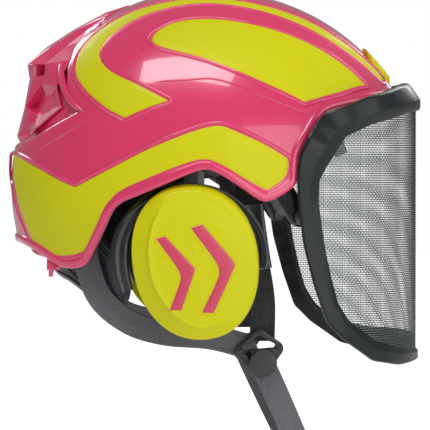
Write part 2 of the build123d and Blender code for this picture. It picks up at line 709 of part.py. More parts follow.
BUTTON_LIFT, BUTTON_T = 1.8, 2.6          # the button stands this far off the slider
with BuildPart() as slider_button_right:
    with BuildSketch(Plane.XZ.offset(RING_Y + RING_T + BUTTON_LIFT)):
        with Locations((SLIDER_X, SLIDER_Z)):
            Circle(BUTTON_R)
    extrude(amount=BUTTON_T)
    fillet(slider_button_right.edges().group_by(Axis.Y)[0], 1)
    with BuildSketch(Plane.XZ.offset(RING_Y + 0.2)):
        with Locations((SLIDER_X, SLIDER_Z)):
            Circle(STEM_R)
    extrude(amount=RING_T + BUTTON_LIFT)
slider_button_left = mirrored(slider_button_right)

# The chin loop is a U of webbing in a plane that leans forward from the sliders to the chin.
LOOP_PLANE = Plane(origin=(SLIDER_X, 0, SLIDER_Z), x_dir=(0, 1, 0), z_dir=(0.909, 0, 0.416))
BUCKLE_W, BUCKLE_H, BUCKLE_T = 34.0, 25.0, 9.0
BUCKLE_V = 4 - LOOP_DEPTH                 # buckle's centre in the loop's plane
BUTTON_WELL = 3.4                         # deep enough for the button's 1.5 mm of travel
with BuildPart() as chin_strap_lower_right:
    with BuildSketch(LOOP_PLANE):
        with BuildLine():
            Spline(
                (-LOWER_Y - 0.7, 6), (-LOWER_Y + 2, -30), (-52, -68), (-BUCKLE_W / 2 - 0.2, BUCKLE_V),
                tangents=((0, -1), (1, -0.12))
            )
        trace(line_width=STRAP_T)
    extrude(amount=STRAP_W / 2, both=True)
chin_strap_lower_left = mirrored(chin_strap_lower_right)

with BuildPart() as buckle_body:
    with BuildSketch(LOOP_PLANE):
        with Locations((BUCKLE_W / 4 + 0.1, BUCKLE_V)):
            RectangleRounded(BUCKLE_W / 2 - 0.2, BUCKLE_T, 2)
    extrude(amount=BUCKLE_H / 2, both=True)
    # window for the release button
    with BuildSketch(LOOP_PLANE):
        with Locations((BUCKLE_W / 4, BUCKLE_V - BUCKLE_T / 2)):
            Rectangle(9, 2 * BUTTON_WELL)
    extrude(amount=5, both=True, mode=Mode.SUBTRACT)

with BuildPart() as buckle_clip:
    with BuildSketch(LOOP_PLANE):
        with Locations((-BUCKLE_W / 4 - 0.1, BUCKLE_V)):
            RectangleRounded(BUCKLE_W / 2 - 0.2, BUCKLE_T - 1, 2)
    extrude(amount=BUCKLE_H / 2 - 1, both=True)

with BuildPart() as buckle_button:
    with BuildSketch(LOOP_PLANE):
        with Locations((BUCKLE_W / 4, BUCKLE_V - BUCKLE_T / 2 + 0.2)):
            Rectangle(8.6, 2.4)
    extrude(amount=4.6, both=True)

# ---------------------------------------------------------------- write every node
PIECES = {
    "outer_shell": outer_shell,
    "side_panel_right": side_panel_right,
    "side_panel_left": side_panel_left,
    "crown_panel_right": crown_panel_right,
    "crown_panel_left": crown_panel_left,
    "crown_band_right": crown_band_right,
    "crown_band_left": crown_band_left,
    "front_cap": front_cap,
    "rear_vent_hood": rear_vent_hood,
    "strap_hooks": strap_hooks,
    "inner_shell": inner_shell,
    "spacer_posts": spacer_posts,
    "headband": headband,
    "sweatband": sweatband,
    "headband_clips": headband_clips,
    "crown_straps": crown_straps,
    "crown_pad": crown_pad,
    "headband_rear": headband_rear,
    "nape_cradle": nape_cradle,
    "nape_pad": nape_pad,
    "adjuster_housing": adjuster_housing,
    "adjuster_knob": adjuster_knob,
    "visor_brackets": visor_brackets,
    "visor_pivot_pins": visor_pivot_pins,
    "visor_arm_right": visor_arm_right,
    "visor_arm_left": visor_arm_left,
    "visor_frame": visor_frame,
    "visor_mesh": visor_mesh,
    "mesh_clips": mesh_clips,
    "muff_brackets": muff_brackets,
    "muff_hinge_pins": muff_hinge_pins,
    "muff_arm_right": muff_arm_right,
    "muff_arm_left": muff_arm_left,
    "cup_cover_right": cup_cover_right,
    "cup_cover_left": cup_cover_left,
    "cup_chevrons_right": cup_chevrons_right,
    "cup_chevrons_left": cup_chevrons_left,
    "cup_housing_right": cup_housing_right,
    "cup_housing_left": cup_housing_left,
    "ear_cushion_right": ear_cushion_right,
    "ear_cushion_left": ear_cushion_left,
    "ear_foam_right": ear_foam_right,
    "ear_foam_left": ear_foam_left,
    "chin_strap_front_right": chin_strap_front_right,
    "chin_strap_front_left": chin_strap_front_left,
    "chin_strap_rear_right": chin_strap_rear_right,
    "chin_strap_rear_left": chin_strap_rear_left,
    "strap_sleeves": strap_sleeves,
    "strap_anchors": strap_anchors,
    "strap_slider_right": strap_slider_right,
    "strap_slider_left": strap_slider_left,
    "slider_button_right": slider_button_right,
    "slider_button_left": slider_button_left,
    "chin_strap_lower_right": chin_strap_lower_right,
    "chin_strap_lower_left": chin_strap_lower_left,
    "buckle_body": buckle_body,
    "buckle_clip": buckle_clip,
    "buckle_button": buckle_button,
}

os.makedirs("parts", exist_ok=True)
for node, piece in PIECES.items():
    piece.part.label = node
    export_step(piece.part, f"parts/{node}.step")
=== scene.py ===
"""Forestry helmet: the looks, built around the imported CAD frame. Lengths in helpers are millimetres."""
import math

import bmesh
import bpy
import json
import numpy as np
from mathutils import Matrix, Vector, geometry, kdtree


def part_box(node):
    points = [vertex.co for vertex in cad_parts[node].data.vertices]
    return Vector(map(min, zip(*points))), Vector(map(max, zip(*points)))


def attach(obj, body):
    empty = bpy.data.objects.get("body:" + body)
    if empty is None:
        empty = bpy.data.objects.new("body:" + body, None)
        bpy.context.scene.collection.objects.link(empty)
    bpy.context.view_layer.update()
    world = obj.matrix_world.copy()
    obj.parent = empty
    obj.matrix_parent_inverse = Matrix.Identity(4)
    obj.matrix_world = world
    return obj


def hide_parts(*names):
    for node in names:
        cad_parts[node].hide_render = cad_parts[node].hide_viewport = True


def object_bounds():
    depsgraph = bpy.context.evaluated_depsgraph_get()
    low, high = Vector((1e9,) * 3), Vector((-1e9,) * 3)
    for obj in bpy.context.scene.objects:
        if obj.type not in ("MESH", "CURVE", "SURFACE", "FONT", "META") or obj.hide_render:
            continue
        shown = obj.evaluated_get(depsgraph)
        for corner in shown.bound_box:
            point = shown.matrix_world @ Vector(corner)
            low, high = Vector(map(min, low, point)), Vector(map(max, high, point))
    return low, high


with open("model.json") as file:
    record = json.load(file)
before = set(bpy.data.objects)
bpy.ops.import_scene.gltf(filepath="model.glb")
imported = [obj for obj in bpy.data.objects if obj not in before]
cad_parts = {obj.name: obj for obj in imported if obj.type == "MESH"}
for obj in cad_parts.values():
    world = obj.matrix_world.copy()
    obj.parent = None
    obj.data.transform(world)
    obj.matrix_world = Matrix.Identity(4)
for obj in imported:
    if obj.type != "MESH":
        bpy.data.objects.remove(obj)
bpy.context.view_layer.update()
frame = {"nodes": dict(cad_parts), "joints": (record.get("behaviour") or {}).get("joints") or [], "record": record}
MM = 0.001
NODES = frame["nodes"]


def joint(name):
    return next(j for j in frame["joints"] if j["name"] == name)


def corners(node):
    """The lowest and highest corner of a CAD node, in millimetres."""
    low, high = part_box(node)
    return np.array(low) / MM, np.array(high) / MM


# ------------------------------------------------------------------ the crown's base surface
SHELL_HIGH = corners("outer_shell")[1]
SIDE = SHELL_HIGH[1]                      # half width of the crown
CENTRE = np.array([17.0, 0.0, 50.0])
FRONT, REAR, TOP = 167.0, 152.0, SHELL_HIGH[2] - CENTRE[2]
WALL = 3.2
FLARE, FLARE_FADE = 1.6, 5.0              # the rim's flare, and the height over which it fades
RIM_STEP = 1.3
TILT_U = np.array([0.0, 0.8, 0.6])        # in-plane "up" of the tilted crown plane
TILT_N = np.array([0.0, -0.6, 0.8])       # its normal, up and to the wearer's right


def semi_x(x):
    return np.where(x > CENTRE[0], FRONT, REAR)


def dome_normal(p):
    n = np.stack([
        (p[:, 0] - CENTRE[0]) / semi_x(p[:, 0]) ** 2, p[:, 1] / SIDE ** 2,
        (p[:, 2] - CENTRE[2]) / TOP ** 2], 1)
    return n / np.linalg.norm(n, axis=1, keepdims=True)


def dome_side(points):
    """(x, z) pairs to points on the wearer's right side of the crown."""
    x, z = np.asarray(points, float).T
    inside = 1 - ((x - CENTRE[0]) / semi_x(x)) ** 2 - ((z - CENTRE[2]) / TOP) ** 2
    return np.stack([x, -SIDE * np.sqrt(np.clip(inside, 0, 1)), z], 1)


def dome_tilted(points):
    """(x, v) pairs in the tilted crown plane to points on the upper right of the crown."""
    x, v = np.asarray(points, float).T
    y0, z0 = v * TILT_U[1], v * TILT_U[2] - CENTRE[2]
    ny, nz = TILT_N[1], TILT_N[2]
    a = (ny / SIDE) ** 2 + (nz / TOP) ** 2
    b = 2 * (y0 * ny / SIDE ** 2 + z0 * nz / TOP ** 2)
    c = (y0 / SIDE) ** 2 + (z0 / TOP) ** 2 + ((x - CENTRE[0]) / semi_x(x)) ** 2 - 1
    w = (-b + np.sqrt(np.clip(b * b - 4 * a * c, 0, None))) / (2 * a)
    return np.stack([x, y0 + w * ny, z0 + w * nz + CENTRE[2]], 1)


# ------------------------------------------------------------------ outlines
RIM = [
    (-135, 7), (-127, 7), (-114, 1), (-99, -8.5), (-88, -10.5), (-79, -7), (-74, 2), (-66, 20),
    (-60, 33), (-53, 39.5), (-40, 45), (-16, 55.5), (0, 62), (8, 63.5), (17, 60.5), (34, 50),
    (44, 43), (51.5, 40), (60, 42.5), (70, 48.5), (75.5, 55), (76.5, 66), (79, 77), (86, 89),
    (97, 104.5), (110, 109.5), (135, 114.5), (160, 118), (190, 120)]
SIDE_PANEL = [
    [(-133.5, 75), (-113, 63.5), (-100, 56), (-88, 50.5)],
    [(-88, 50.5), (-62, 64.5), (-33, 79.5), (0, 92.5), (18, 96), (34, 91), (52, 82), (69, 72)],
    [(69, 72), (69.8, 66), (66.5, 57), (53, 47)],
    [(53, 47), (33, 57.5), (17, 67), (7, 70), (-6, 67.5), (-33, 57), (-57, 45), (-66, 32),
     (-74, 13), (-80, 2)],
    [(-80, 2), (-89, -1.2), (-101, -2.5)],
    [(-101, -2.5), (-116.5, 1.5)],
    [(-116.5, 1.5), (-127, 27), (-131, 40)],
    [(-131, 40), (-134, 60), (-133.5, 75)],
]
CROWN_PANEL = [
    [(134.6, 29.7), (114, 38), (83, 46), (45, 52), (10, 55.5), (-16, 53), (-30, 41), (-22, 29.5),
     (16, 13), (50, 0.5), (83, -7.8)],
    [(83, -7.8), (110, 8.5), (134.6, 29.7)],
]
CROWN_BAND = [
    [(-51.7, -15.6), (-66, -2.5), (-80, 18), (-87, 40), (-82, 62), (-66, 77), (-44, 84),
     (-14, 86), (20, 85.5), (85, 77), (124, 66), (152, 56.5)],
    [(152, 56.5), (149, 48)],
    [(149, 48), (115, 56), (76, 66.5), (20, 76), (-11, 75), (-41, 69), (-60, 58.5), (-68, 44),
     (-61, 24), (-40, 4), (-18, -12.3)],
    [(-18, -12.3), (-51.7, -15.6)],
]


def smooth_curve(points, step):
    """A smooth curve through the points, sampled about every step. Two points give a straight line."""
    p = np.asarray(points, float)
    if len(p) == 2:
        n = max(2, int(np.linalg.norm(p[1] - p[0]) / step))
        return p[0] + np.linspace(0, 1, n + 1)[:, None] * (p[1] - p[0])
    ext = np.vstack([2 * p[0] - p[1], p, 2 * p[-1] - p[-2]])
    out = []
    for i in range(1, len(ext) - 2):
        a, b, c, d = ext[i - 1:i + 3]
        n = max(2, int(np.linalg.norm(c - b) / step))
        t1 = (c - a) / max(np.linalg.norm(c - a), 1e-6) * np.linalg.norm(c - b)
        t2 = (d - b) / max(np.linalg.norm(d - b), 1e-6) * np.linalg.norm(c - b)
        t = np.linspace(0, 1, n, endpoint=False)[:, None]
        h00, h10 = 2 * t ** 3 - 3 * t ** 2 + 1, t ** 3 - 2 * t ** 2 + t
        h01, h11 = -2 * t ** 3 + 3 * t ** 2, t ** 3 - t ** 2
        out.append(h00 * b + h10 * t1 + h01 * c + h11 * t2)
    out.append(p[-1:])
    return np.vstack(out)


def closed_outline(stretches, step=0.8, soften=3):
    """All stretches joined into one loop, evenly spaced, with its corners slightly rounded."""
    loop = np.vstack([smooth_curve(s, step)[:-1] for s in stretches])
    return softened(resample(loop, step, True), soften)


def softened(loop, rounds=1):
    """A closed loop with each point averaged with its neighbours."""
    for _ in range(rounds):
        loop = 0.5 * loop + 0.25 * (np.roll(loop, 1, 0) + np.roll(loop, -1, 0))
    return loop


def run_length(points):
    """Distance along a line at each of its points, from 0."""
    return np.concatenate([[0], np.cumsum(np.linalg.norm(np.diff(points, axis=0), axis=1))])


def resample(points, step, closed=False):
    """The same line with evenly spaced points."""
    p = np.vstack([points, points[:1]]) if closed else np.asarray(points, float)
    s = run_length(p)
    n = max(3, int(round(s[-1] / step)))
    t = np.linspace(0, s[-1], n + 1)
    q = np.stack([np.interp(t, s, p[:, k]) for k in range(p.shape[1])], 1)
    return q[:-1] if closed else q


def inside_loop(points, loop):
    """Even-odd test of many 2-D points against a closed loop."""
    x, y = points[:, 0], points[:, 1]
    inside = np.zeros(len(points), bool)
    a, b = loop, np.roll(loop, -1, 0)
    for (ax, ay), (bx, by) in zip(a, b):
        if ay == by:
            continue
        hit = (y > min(ay, by)) & (y <= max(ay, by))
        inside ^= hit & (x < (bx - ax) * (y - ay) / (by - ay) + ax)
    return inside


def distances(points, curve):
    """Shortest distance from each point of a plane to a densely sampled curve in it."""
    tree = kdtree.KDTree(len(curve))
    for i, (x, y) in enumerate(curve):
        tree.insert((x, y, 0), i)
    tree.balance()
    return np.array([tree.find((x, y, 0))[2] for x, y in points])


def ramp(d, start, end):
    """A smooth step from 0 at start to 1 at end."""
    t = np.clip((d - start) / (end - start), 0, 1)
    return t * t * (3 - 2 * t)


# ------------------------------------------------------------------ making pieces
def added(name, data):
    obj = bpy.data.objects.new(name, data)
    bpy.context.scene.collection.objects.link(obj)
    return obj


def adopt(obj, slot, body, stands_for=()):
    """Give a piece its material, the body that it rides on and the CAD nodes that it stands for."""
    obj.data.materials.clear()
    obj.data.materials.append(MATS[slot])
    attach(obj, body)
    if stands_for:
        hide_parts(*stands_for)
    return obj


def shade_smooth(mesh):
    mesh.polygons.foreach_set("use_smooth", [True] * len(mesh.polygons))


def piece(name, verts, faces, slot, body, stands_for=(), smooth=True, uv=None):
    """A mesh piece from millimetre vertices, riding on a CAD body."""
    mesh = bpy.data.meshes.new(name)
    mesh.from_pydata((np.asarray(verts, float) * MM).tolist(), [], [list(map(int, f)) for f in faces])
    mesh.validate()
    mesh.update()
    if smooth:
        shade_smooth(mesh)
    if uv is not None:
        layer = mesh.uv_layers.new(name="UVMap")
        index = np.zeros(len(mesh.loops), int)
        mesh.loops.foreach_get("vertex_index", index)
        layer.data.foreach_set("uv", np.asarray(uv, float)[index].ravel())
    return adopt(added(name, mesh), slot, body, stands_for)


def flip(points):
    """The same points on the wearer's left."""
    return np.asarray(points, float) * [1, -1, 1]


def grid_faces(rows, cols, wrap=False, start=0):
    faces = []
    for r in range(rows - 1):
        for c in range(cols if wrap else cols - 1):
            d = (c + 1) % cols
            a = start + r * cols
            faces.append((a + c, a + d, a + cols + d, a + cols + c))
    return faces


def mirrored(part):
    return flip(part[0]), [tuple(reversed(q)) for q in part[1]]


def both_sides(name, part, slot, body, node=None, **more):
    """The piece and its mirror image, NAME_right and NAME_left. {side} in body or node is filled in;
    a node without it holds both sides, and the right piece stands for it."""
    made = []
    for side in ("right", "left"):
        verts, faces = part if side == "right" else mirrored(part)
        own_node = node and (side == "right" or "{side}" in node)
        stands_for = [node.format(side=side)] if own_node else []
        made.append(piece(f"{name}_{side}", verts, faces, slot, body.format(side=side), stands_for, **more))
    return made


def modifier(obj, kind, **settings):
    m = obj.modifiers.new(kind.lower(), kind)
    for key, value in settings.items():
        setattr(m, key, value)
    return m


def apply_modifiers(obj):
    """Bake all modifiers of a piece into its mesh."""
    depsgraph = bpy.context.evaluated_depsgraph_get()
    baked = bpy.data.meshes.new_from_object(obj.evaluated_get(depsgraph))
    obj.modifiers.clear()
    obj.data = baked


def bevel(obj, width, segments, angle, **more):
    modifier(obj, "BEVEL", width=width * MM, segments=segments, limit_method="ANGLE",
             angle_limit=math.radians(angle), **more)


def thicken(pieces, thickness):
    """Give open sheets a thickness, inwards."""
    for obj in pieces:
        modifier(obj, "SOLIDIFY", thickness=thickness * MM, offset=-1)
        apply_modifiers(obj)


# ------------------------------------------------------------------ materials
def material(name):
    m = bpy.data.materials.new(name)
    m.use_nodes = True
    return m, m.node_tree, m.node_tree.nodes["Principled BSDF"]


def node(tree, kind, **inputs):
    """A shader node with some inputs set; an underscore stands for a space in an input's name."""
    n = tree.nodes.new(kind)
    for key, value in inputs.items():
        n.inputs[key.replace("_", " ")].default_value = value
    return n


def noise(tree, scale, detail=3.0, rough=0.5):
    coords = tree.nodes.new("ShaderNodeTexCoord")
    n = node(tree, "ShaderNodeTexNoise", Scale=scale, Detail=detail, Roughness=rough)
    tree.links.new(coords.outputs["Object"], n.inputs["Vector"])
    return n.outputs["Fac"]


def mapped(tree, value, low, high, to_low, to_high):
    """value from the range low..high to the range to_low..to_high."""
    n = node(tree, "ShaderNodeMapRange", From_Min=low, From_Max=high, To_Min=to_low, To_Max=to_high)
    tree.links.new(value, n.inputs["Value"])
    return n.outputs["Result"]


def mixed(tree, fac, a, b):
    """A mix of two colours. Each argument is a socket, a number or a colour."""
    n = tree.nodes.new("ShaderNodeMix")
    n.data_type = "RGBA"
    for socket, value in (("Factor", fac), ("A", a), ("B", b)):
        target = next(i for i in n.inputs if i.name == socket and i.enabled)
        if isinstance(value, (int, float)):
            target.default_value = value
        elif isinstance(value, tuple):
            target.default_value = (*value, 1)
        else:
            tree.links.new(value, target)
    return next(o for o in n.outputs if o.enabled)


def bumped(tree, shader, height, strength, distance=0.0002):
    n = node(tree, "ShaderNodeBump", Strength=strength, Distance=distance)
    tree.links.new(height, n.inputs["Height"])
    tree.links.new(n.outputs["Normal"], shader.inputs["Normal"])


def product(tree, a, b):
    n = node(tree, "ShaderNodeMath")
    n.operation = "MULTIPLY"
    tree.links.new(a, n.inputs[0])
    tree.links.new(b, n.inputs[1])
    return n.outputs[0]


def edge_wear(tree):
    """Near 1 on sharp outer edges, broken up by noise."""
    geo = tree.nodes.new("ShaderNodeNewGeometry")
    edge = mapped(tree, geo.outputs["Pointiness"], 0.53, 0.62, 0, 1)
    return product(tree, edge, mapped(tree, noise(tree, 90, 4), 0.5, 0.62, 0, 1))


def moulded(name, color, rough, coat=0.0, grain=900, grain_strength=0.06, worn=None, shift=0.06, shine=0.5):
    """Injection-moulded plastic: slight colour drift, fine grain, scuffed edges."""
    m, tree, shader = material(name)
    shader.inputs["Specular IOR Level"].default_value = shine
    darker = tuple(c * (1 - shift) for c in color)
    lighter = tuple(min(1, c * (1 + shift)) for c in color)
    base = mixed(tree, noise(tree, 14), darker, lighter)
    if worn:
        base = mixed(tree, mapped(tree, edge_wear(tree), 0, 1, 0, 0.6), base, worn)
    tree.links.new(base, shader.inputs["Base Color"])
    tree.links.new(
        mapped(tree, noise(tree, 45, 5), 0.3, 0.7, rough * 0.85, rough * 1.2),
        shader.inputs["Roughness"])
    shader.inputs["Coat Weight"].default_value = coat
    shader.inputs["Coat Roughness"].default_value = 0.04
    bumped(tree, shader, noise(tree, grain, 2), grain_strength)
    return m


def metal(name, color, rough):
    m, tree, shader = material(name)
    tree.links.new(
        mixed(tree, noise(tree, 200), color, tuple(c * 0.8 for c in color)),
        shader.inputs["Base Color"])
    shader.inputs["Metallic"].default_value = 1
    shader.inputs["Roughness"].default_value = rough
    bumped(tree, shader, noise(tree, 1500, 2), 0.1)
    return m


def webbing(name, color, fleck):
    """Woven tape: UV runs in millimetres, U across and V along the strap. Painted shade darkens the weave's dips.
    """
    m, tree, shader = material(name)
    uv = tree.nodes.new("ShaderNodeUVMap")
    weave = []
    for angle, period in ((0.0, 1.3), (math.pi / 2, 0.9)):
        turn = tree.nodes.new("ShaderNodeMapping")
        turn.inputs["Rotation"].default_value = (0, 0, angle)
        tree.links.new(uv.outputs["UV"], turn.inputs["Vector"])
        wave = node(tree, "ShaderNodeTexWave", Scale=0.314 / period, Distortion=0.6, Detail=1.0)
        tree.links.new(turn.outputs["Vector"], wave.inputs["Vector"])
        weave.append(wave.outputs["Fac"])
    both = product(tree, *weave)
    # painted shade: the colour darkens to half where the weave dips
    base = mixed(tree, mapped(tree, both, 0.1, 0.7, 0, 1), tuple(c * 0.5 for c in color), color)
    speck = mapped(tree, noise(tree, 1400, 1), 0.58, 0.66, 0, 0.7)
    tree.links.new(mixed(tree, speck, base, fleck), shader.inputs["Base Color"])
    shader.inputs["Roughness"].default_value = 0.75
    shader.inputs["Sheen Weight"].default_value = 0.35
    bumped(tree, shader, both, 0.7, 0.0003)
    return m


def knit(name, color, scale=900):
    """Soft padding with a fine knitted surface; painted shade darkens the hollows between its loops."""
    m, tree, shader = material(name)
    coords = tree.nodes.new("ShaderNodeTexCoord")
    cell = node(tree, "ShaderNodeTexVoronoi", Scale=scale)
    tree.links.new(coords.outputs["Object"], cell.inputs["Vector"])
    painted_hollow_shade = mapped(tree, cell.outputs["Distance"], 0, 0.7, 0, 1)
    # painted shade: the colour darkens towards the hollows between the knit's cells
    base = mixed(tree, painted_hollow_shade, color, tuple(c * 0.35 for c in color))
    tree.links.new(base, shader.inputs["Base Color"])
    shader.inputs["Roughness"].default_value = 0.9
    shader.inputs["Sheen Weight"].default_value = 0.4
    bumped(tree, shader, cell.outputs["Distance"], 0.6, 0.0004)
    return m


PINK = (0.8, 0.036, 0.15)
YELLOW = (0.7, 0.68, 0.002)
MATS = {
    "shell_pink": moulded("shell_pink", PINK, 0.22, 1.0, 700, 0.02, (0.85, 0.25, 0.4)),
    "panel_yellow": moulded("panel_yellow", YELLOW, 0.5, 0.1, 900, 0.03, shift=0.03, shine=0.22),
    "inner_plastic": moulded("inner_plastic", (0.035, 0.038, 0.042), 0.5, 0.1, 1200, 0.2, (0.1, 0.1, 0.1)),
    "harness_plastic": moulded(
        "harness_plastic", (0.045, 0.056, 0.064), 0.26, 0.5, 1100, 0.1, (0.16, 0.17, 0.18)),
    "visor_plastic": moulded(
        "visor_plastic", (0.008, 0.012, 0.013), 0.34, 0.12, 1300, 0.15, (0.06, 0.07, 0.07), shine=0.35),
    "mesh_steel": metal("mesh_steel", (0.22, 0.24, 0.24), 0.42),
    "arm_plastic": moulded("arm_plastic", (0.012, 0.014, 0.016), 0.16, 0.9, 800, 0.04, (0.08, 0.08, 0.08)),
    "steel_pin": metal("steel_pin", (0.55, 0.56, 0.57), 0.25),
    "cup_black": moulded("cup_black", (0.008, 0.011, 0.013), 0.3, 0.3, 1100, 0.1, (0.07, 0.07, 0.07)),
    "chevron_pink": moulded("chevron_pink", (0.68, 0.05, 0.12), 0.35, 0.3, 1000, 0.05),
    "cushion_vinyl": moulded("cushion_vinyl", (0.012, 0.013, 0.015), 0.42, 0.1, 1500, 0.5),
    "foam": knit("foam", (0.04, 0.042, 0.045), 600),
    "webbing_grey": webbing("webbing_grey", (0.25, 0.255, 0.275), (0.05, 0.05, 0.055)),
    "webbing_black": webbing("webbing_black", (0.022, 0.021, 0.024), (0.07, 0.07, 0.075)),
    "padding": knit("padding", (0.05, 0.052, 0.056)),
    "button_grey": moulded("button_grey", (0.034, 0.034, 0.04), 0.4, 0.1, 1100, 0.3, (0.15, 0.15, 0.16)),
    "rubber_grip": moulded("rubber_grip", (0.02, 0.02, 0.022), 0.6, 0.0, 1400, 0.4),
}
for sub in frame["record"]["subparts"]:
    cad = NODES[sub["node"]]
    cad.data.materials.clear()
    cad.data.materials.append(MATS[sub["material_slot"]])


# ------------------------------------------------------------------ sweeps
def unit(v):
    return v / np.maximum(np.linalg.norm(v, axis=-1, keepdims=True), 1e-9)


def tangents(points, closed):
    if closed:
        return unit(np.roll(points, -1, 0) - np.roll(points, 1, 0))
    return unit(np.gradient(points, axis=0))


def across_up(points, ups, closed=False):
    """Unit vectors across a line and up from it, at each of its points."""
    t = tangents(points, closed)
    across = unit(np.cross(t, ups))
    return across, unit(np.cross(across, t))


def tube_faces(rings, count, closed):
    """The sides of a tube of rings, then its two ends unless it closes on itself."""
    faces = []
    for i in range(rings if closed else rings - 1):
        a, b = i * count, ((i + 1) % rings) * count
        faces += [(a + j, a + (j + 1) % count, b + (j + 1) % count, b + j) for j in range(count)]
    if not closed:
        faces += [tuple(range(count))[::-1], tuple((rings - 1) * count + j for j in range(count))]
    return faces


def swept(points, ups, profile, closed=False, scale=None, stretch=None):
    """A section of (across, up) points carried along a line. scale sizes the section at each point;
    stretch sizes it across only."""
    across, up = across_up(points, ups, closed)
    k = np.ones((len(points), 1)) if scale is None else np.asarray(scale, float)[:, None]
    w = k if stretch is None else np.asarray(stretch, float)[:, None]
    rows = [points + across * x * w + up * y * k for x, y in profile]
    return np.stack(rows, 1).reshape(-1, 3), tube_faces(len(points), len(rows), closed)


def bead_profile(half, height, sink=0.5, n=7):
    """A low rounded ridge whose edges sink into the surface below it."""
    a = np.linspace(-1, 1, n)
    top = [(half * s, height * math.sqrt(max(0, 1 - s * s)) - sink * abs(s) ** 3) for s in a]
    return top + [(half * 0.8, -sink - 0.6), (-half * 0.8, -sink - 0.6)]


def joined(parts):
    """Several (verts, faces) pairs as one."""
    verts, faces, start = [], [], 0
    for v, f in parts:
        verts.append(np.asarray(v, float))
        faces += [tuple(i + start for i in q) for q in f]
        start += len(v)
    return np.vstack(verts), faces


# ------------------------------------------------------------------ crown shell
def rim_height(x):
    curve = smooth_curve(RIM, 0.5)
    return np.interp(x, curve[:, 0], curve[:, 1])


def rim_line(step):
    """(x, z) along the rim on one side, evenly spaced from the rear to the front middle."""
    curve = smooth_curve(RIM, 0.4)
    x, z = curve.T
    cos_lat = np.sqrt(1 - ((z - CENTRE[2]) / TOP) ** 2)
    turn = (x - CENTRE[0]) / (semi_x(x) * cos_lat)
    curve = curve[np.abs(turn) < 1]
    ends = []
    for a, sign, near in ((REAR, -1, curve[0]), (FRONT, 1, curve[-1])):
        lat = math.sqrt(1 - ((near[1] - CENTRE[2]) / TOP) ** 2)
        ends.append([CENTRE[0] + sign * a * lat, near[1]])
    curve = np.vstack([ends[0], curve, ends[1]])
    s = run_length(dome_side(curve))
    t = np.linspace(0, s[-1], int(s[-1] / step) + 1)
    return np.stack([np.interp(t, s, curve[:, 0]), np.interp(t, s, curve[:, 1])], 1)


# where the rear of the crown steps in under the vent hood
RECESS = [(-60, 176), (-75, 169), (-86, 157), (-92, 140), (-92.5, 124), (-88, 112), (-81, 107.5),
          (-99, 98), (-119, 86), (-140, 78), (-150, 140), (-120, 185)]
RECESS_DEPTH = 5.5


def shell_relief(points):
    """How far the crown's outer surface stands out from the plain dome."""
    xz = points[:, [0, 2]]
    loop = resample(np.array(RECESS, float), 1.0, True)
    d = np.where(inside_loop(xz, loop), distances(xz, loop), 0)
    flare = FLARE * np.exp(-np.maximum(xz[:, 1] - rim_height(xz[:, 0]), 0) / FLARE_FADE)
    return flare - RECESS_DEPTH * ramp(d, 0, 5)


def make_shell():
    """The crown's outer and inner skins, joined at the rim, with the raised beads on top."""
    rim = rim_line(RIM_STEP)
    lat0 = np.arcsin((rim[:, 1] - CENTRE[2]) / TOP)
    lon = np.arccos(np.clip((rim[:, 0] - CENTRE[0]) / (semi_x(rim[:, 0]) * np.cos(lat0)), -1, 1))
    lon = np.concatenate([lon, -lon[-2:0:-1]])
    lat0 = np.concatenate([lat0, lat0[-2:0:-1]])
    rows = 130
    t = np.linspace(0, 1, rows)[:, None]
    lat = lat0 + (math.radians(89.6) - lat0) * t
    a = np.where(np.cos(lon) > 0, FRONT, REAR)
    outer = np.stack([
        CENTRE[0] + a * np.cos(lon) * np.cos(lat), -SIDE * np.sin(lon) * np.cos(lat),
        CENTRE[2] + TOP * np.sin(lat)], 2).reshape(-1, 3)
    normals = dome_normal(outer)
    relief = shell_relief(outer)[:, None]
    outside = outer + normals * relief
    inner = outer + normals * np.minimum(relief - 2.2, -WALL)
    cols = len(lon)
    body = grid_faces(rows, cols, True)
    cap = tuple((rows - 1) * cols + c for c in range(cols))
    lining = [tuple(reversed([i + len(outer) for i in f])) for f in body + [cap]]
    edge = [(c + len(outer), (c + 1) % cols + len(outer), (c + 1) % cols, c) for c in range(cols)]
    skin = (np.vstack([outside, inner]), body + [cap] + lining + edge)
    parts = [skin] + [p for bead in shell_beads() for p in (bead, mirrored(bead))]
    verts, faces = joined(parts)
    piece("crown_shell", verts, faces, "shell_pink", "shell", ["outer_shell"])


def outward_of(loop):
    """Unit vectors that point out of a closed 2-D loop."""
    t = tangents(loop, True)
    x, y = loop.T
    area = np.sum(x * np.roll(y, -1) - y * np.roll(x, -1))
    return np.stack([t[:, 1], -t[:, 0]], 1) * np.sign(area)


def outline_bead(loop, to_dome, gap, half, height, normal=dome_normal):
    """A bead that runs round a panel, just outside its edge."""
    line = to_dome(softened(loop + outward_of(loop) * gap))
    return swept(line, normal(line), bead_profile(half, height), True)


def open_bead(points, to_dome, half, height):
    """A bead along an open line, narrowing at both ends."""
    line = to_dome(resample(smooth_curve(points, 1.0), 1.2))
    place = np.arange(len(line))
    ends = np.clip(np.minimum(place, place[::-1]) / 8, 0.12, 1)
    return swept(line, dome_normal(line), bead_profile(half, height), False, np.sqrt(ends))


def rim_lip():
    """The thick rolled edge along the rim."""
    line = dome_side(rim_line(RIM_STEP))
    profile = [(-6.8, -3.3), (-2.0, -3.5), (-0.6, -3.4), (0.3, -2.2), (0.3, 0.6), (-0.2, 1.9), (-1.6, 2.5),
               (-5.0, 2.1), (-6.2, 1.5), (-6.8, 0.2)]
    return swept(line, dome_normal(line), profile)


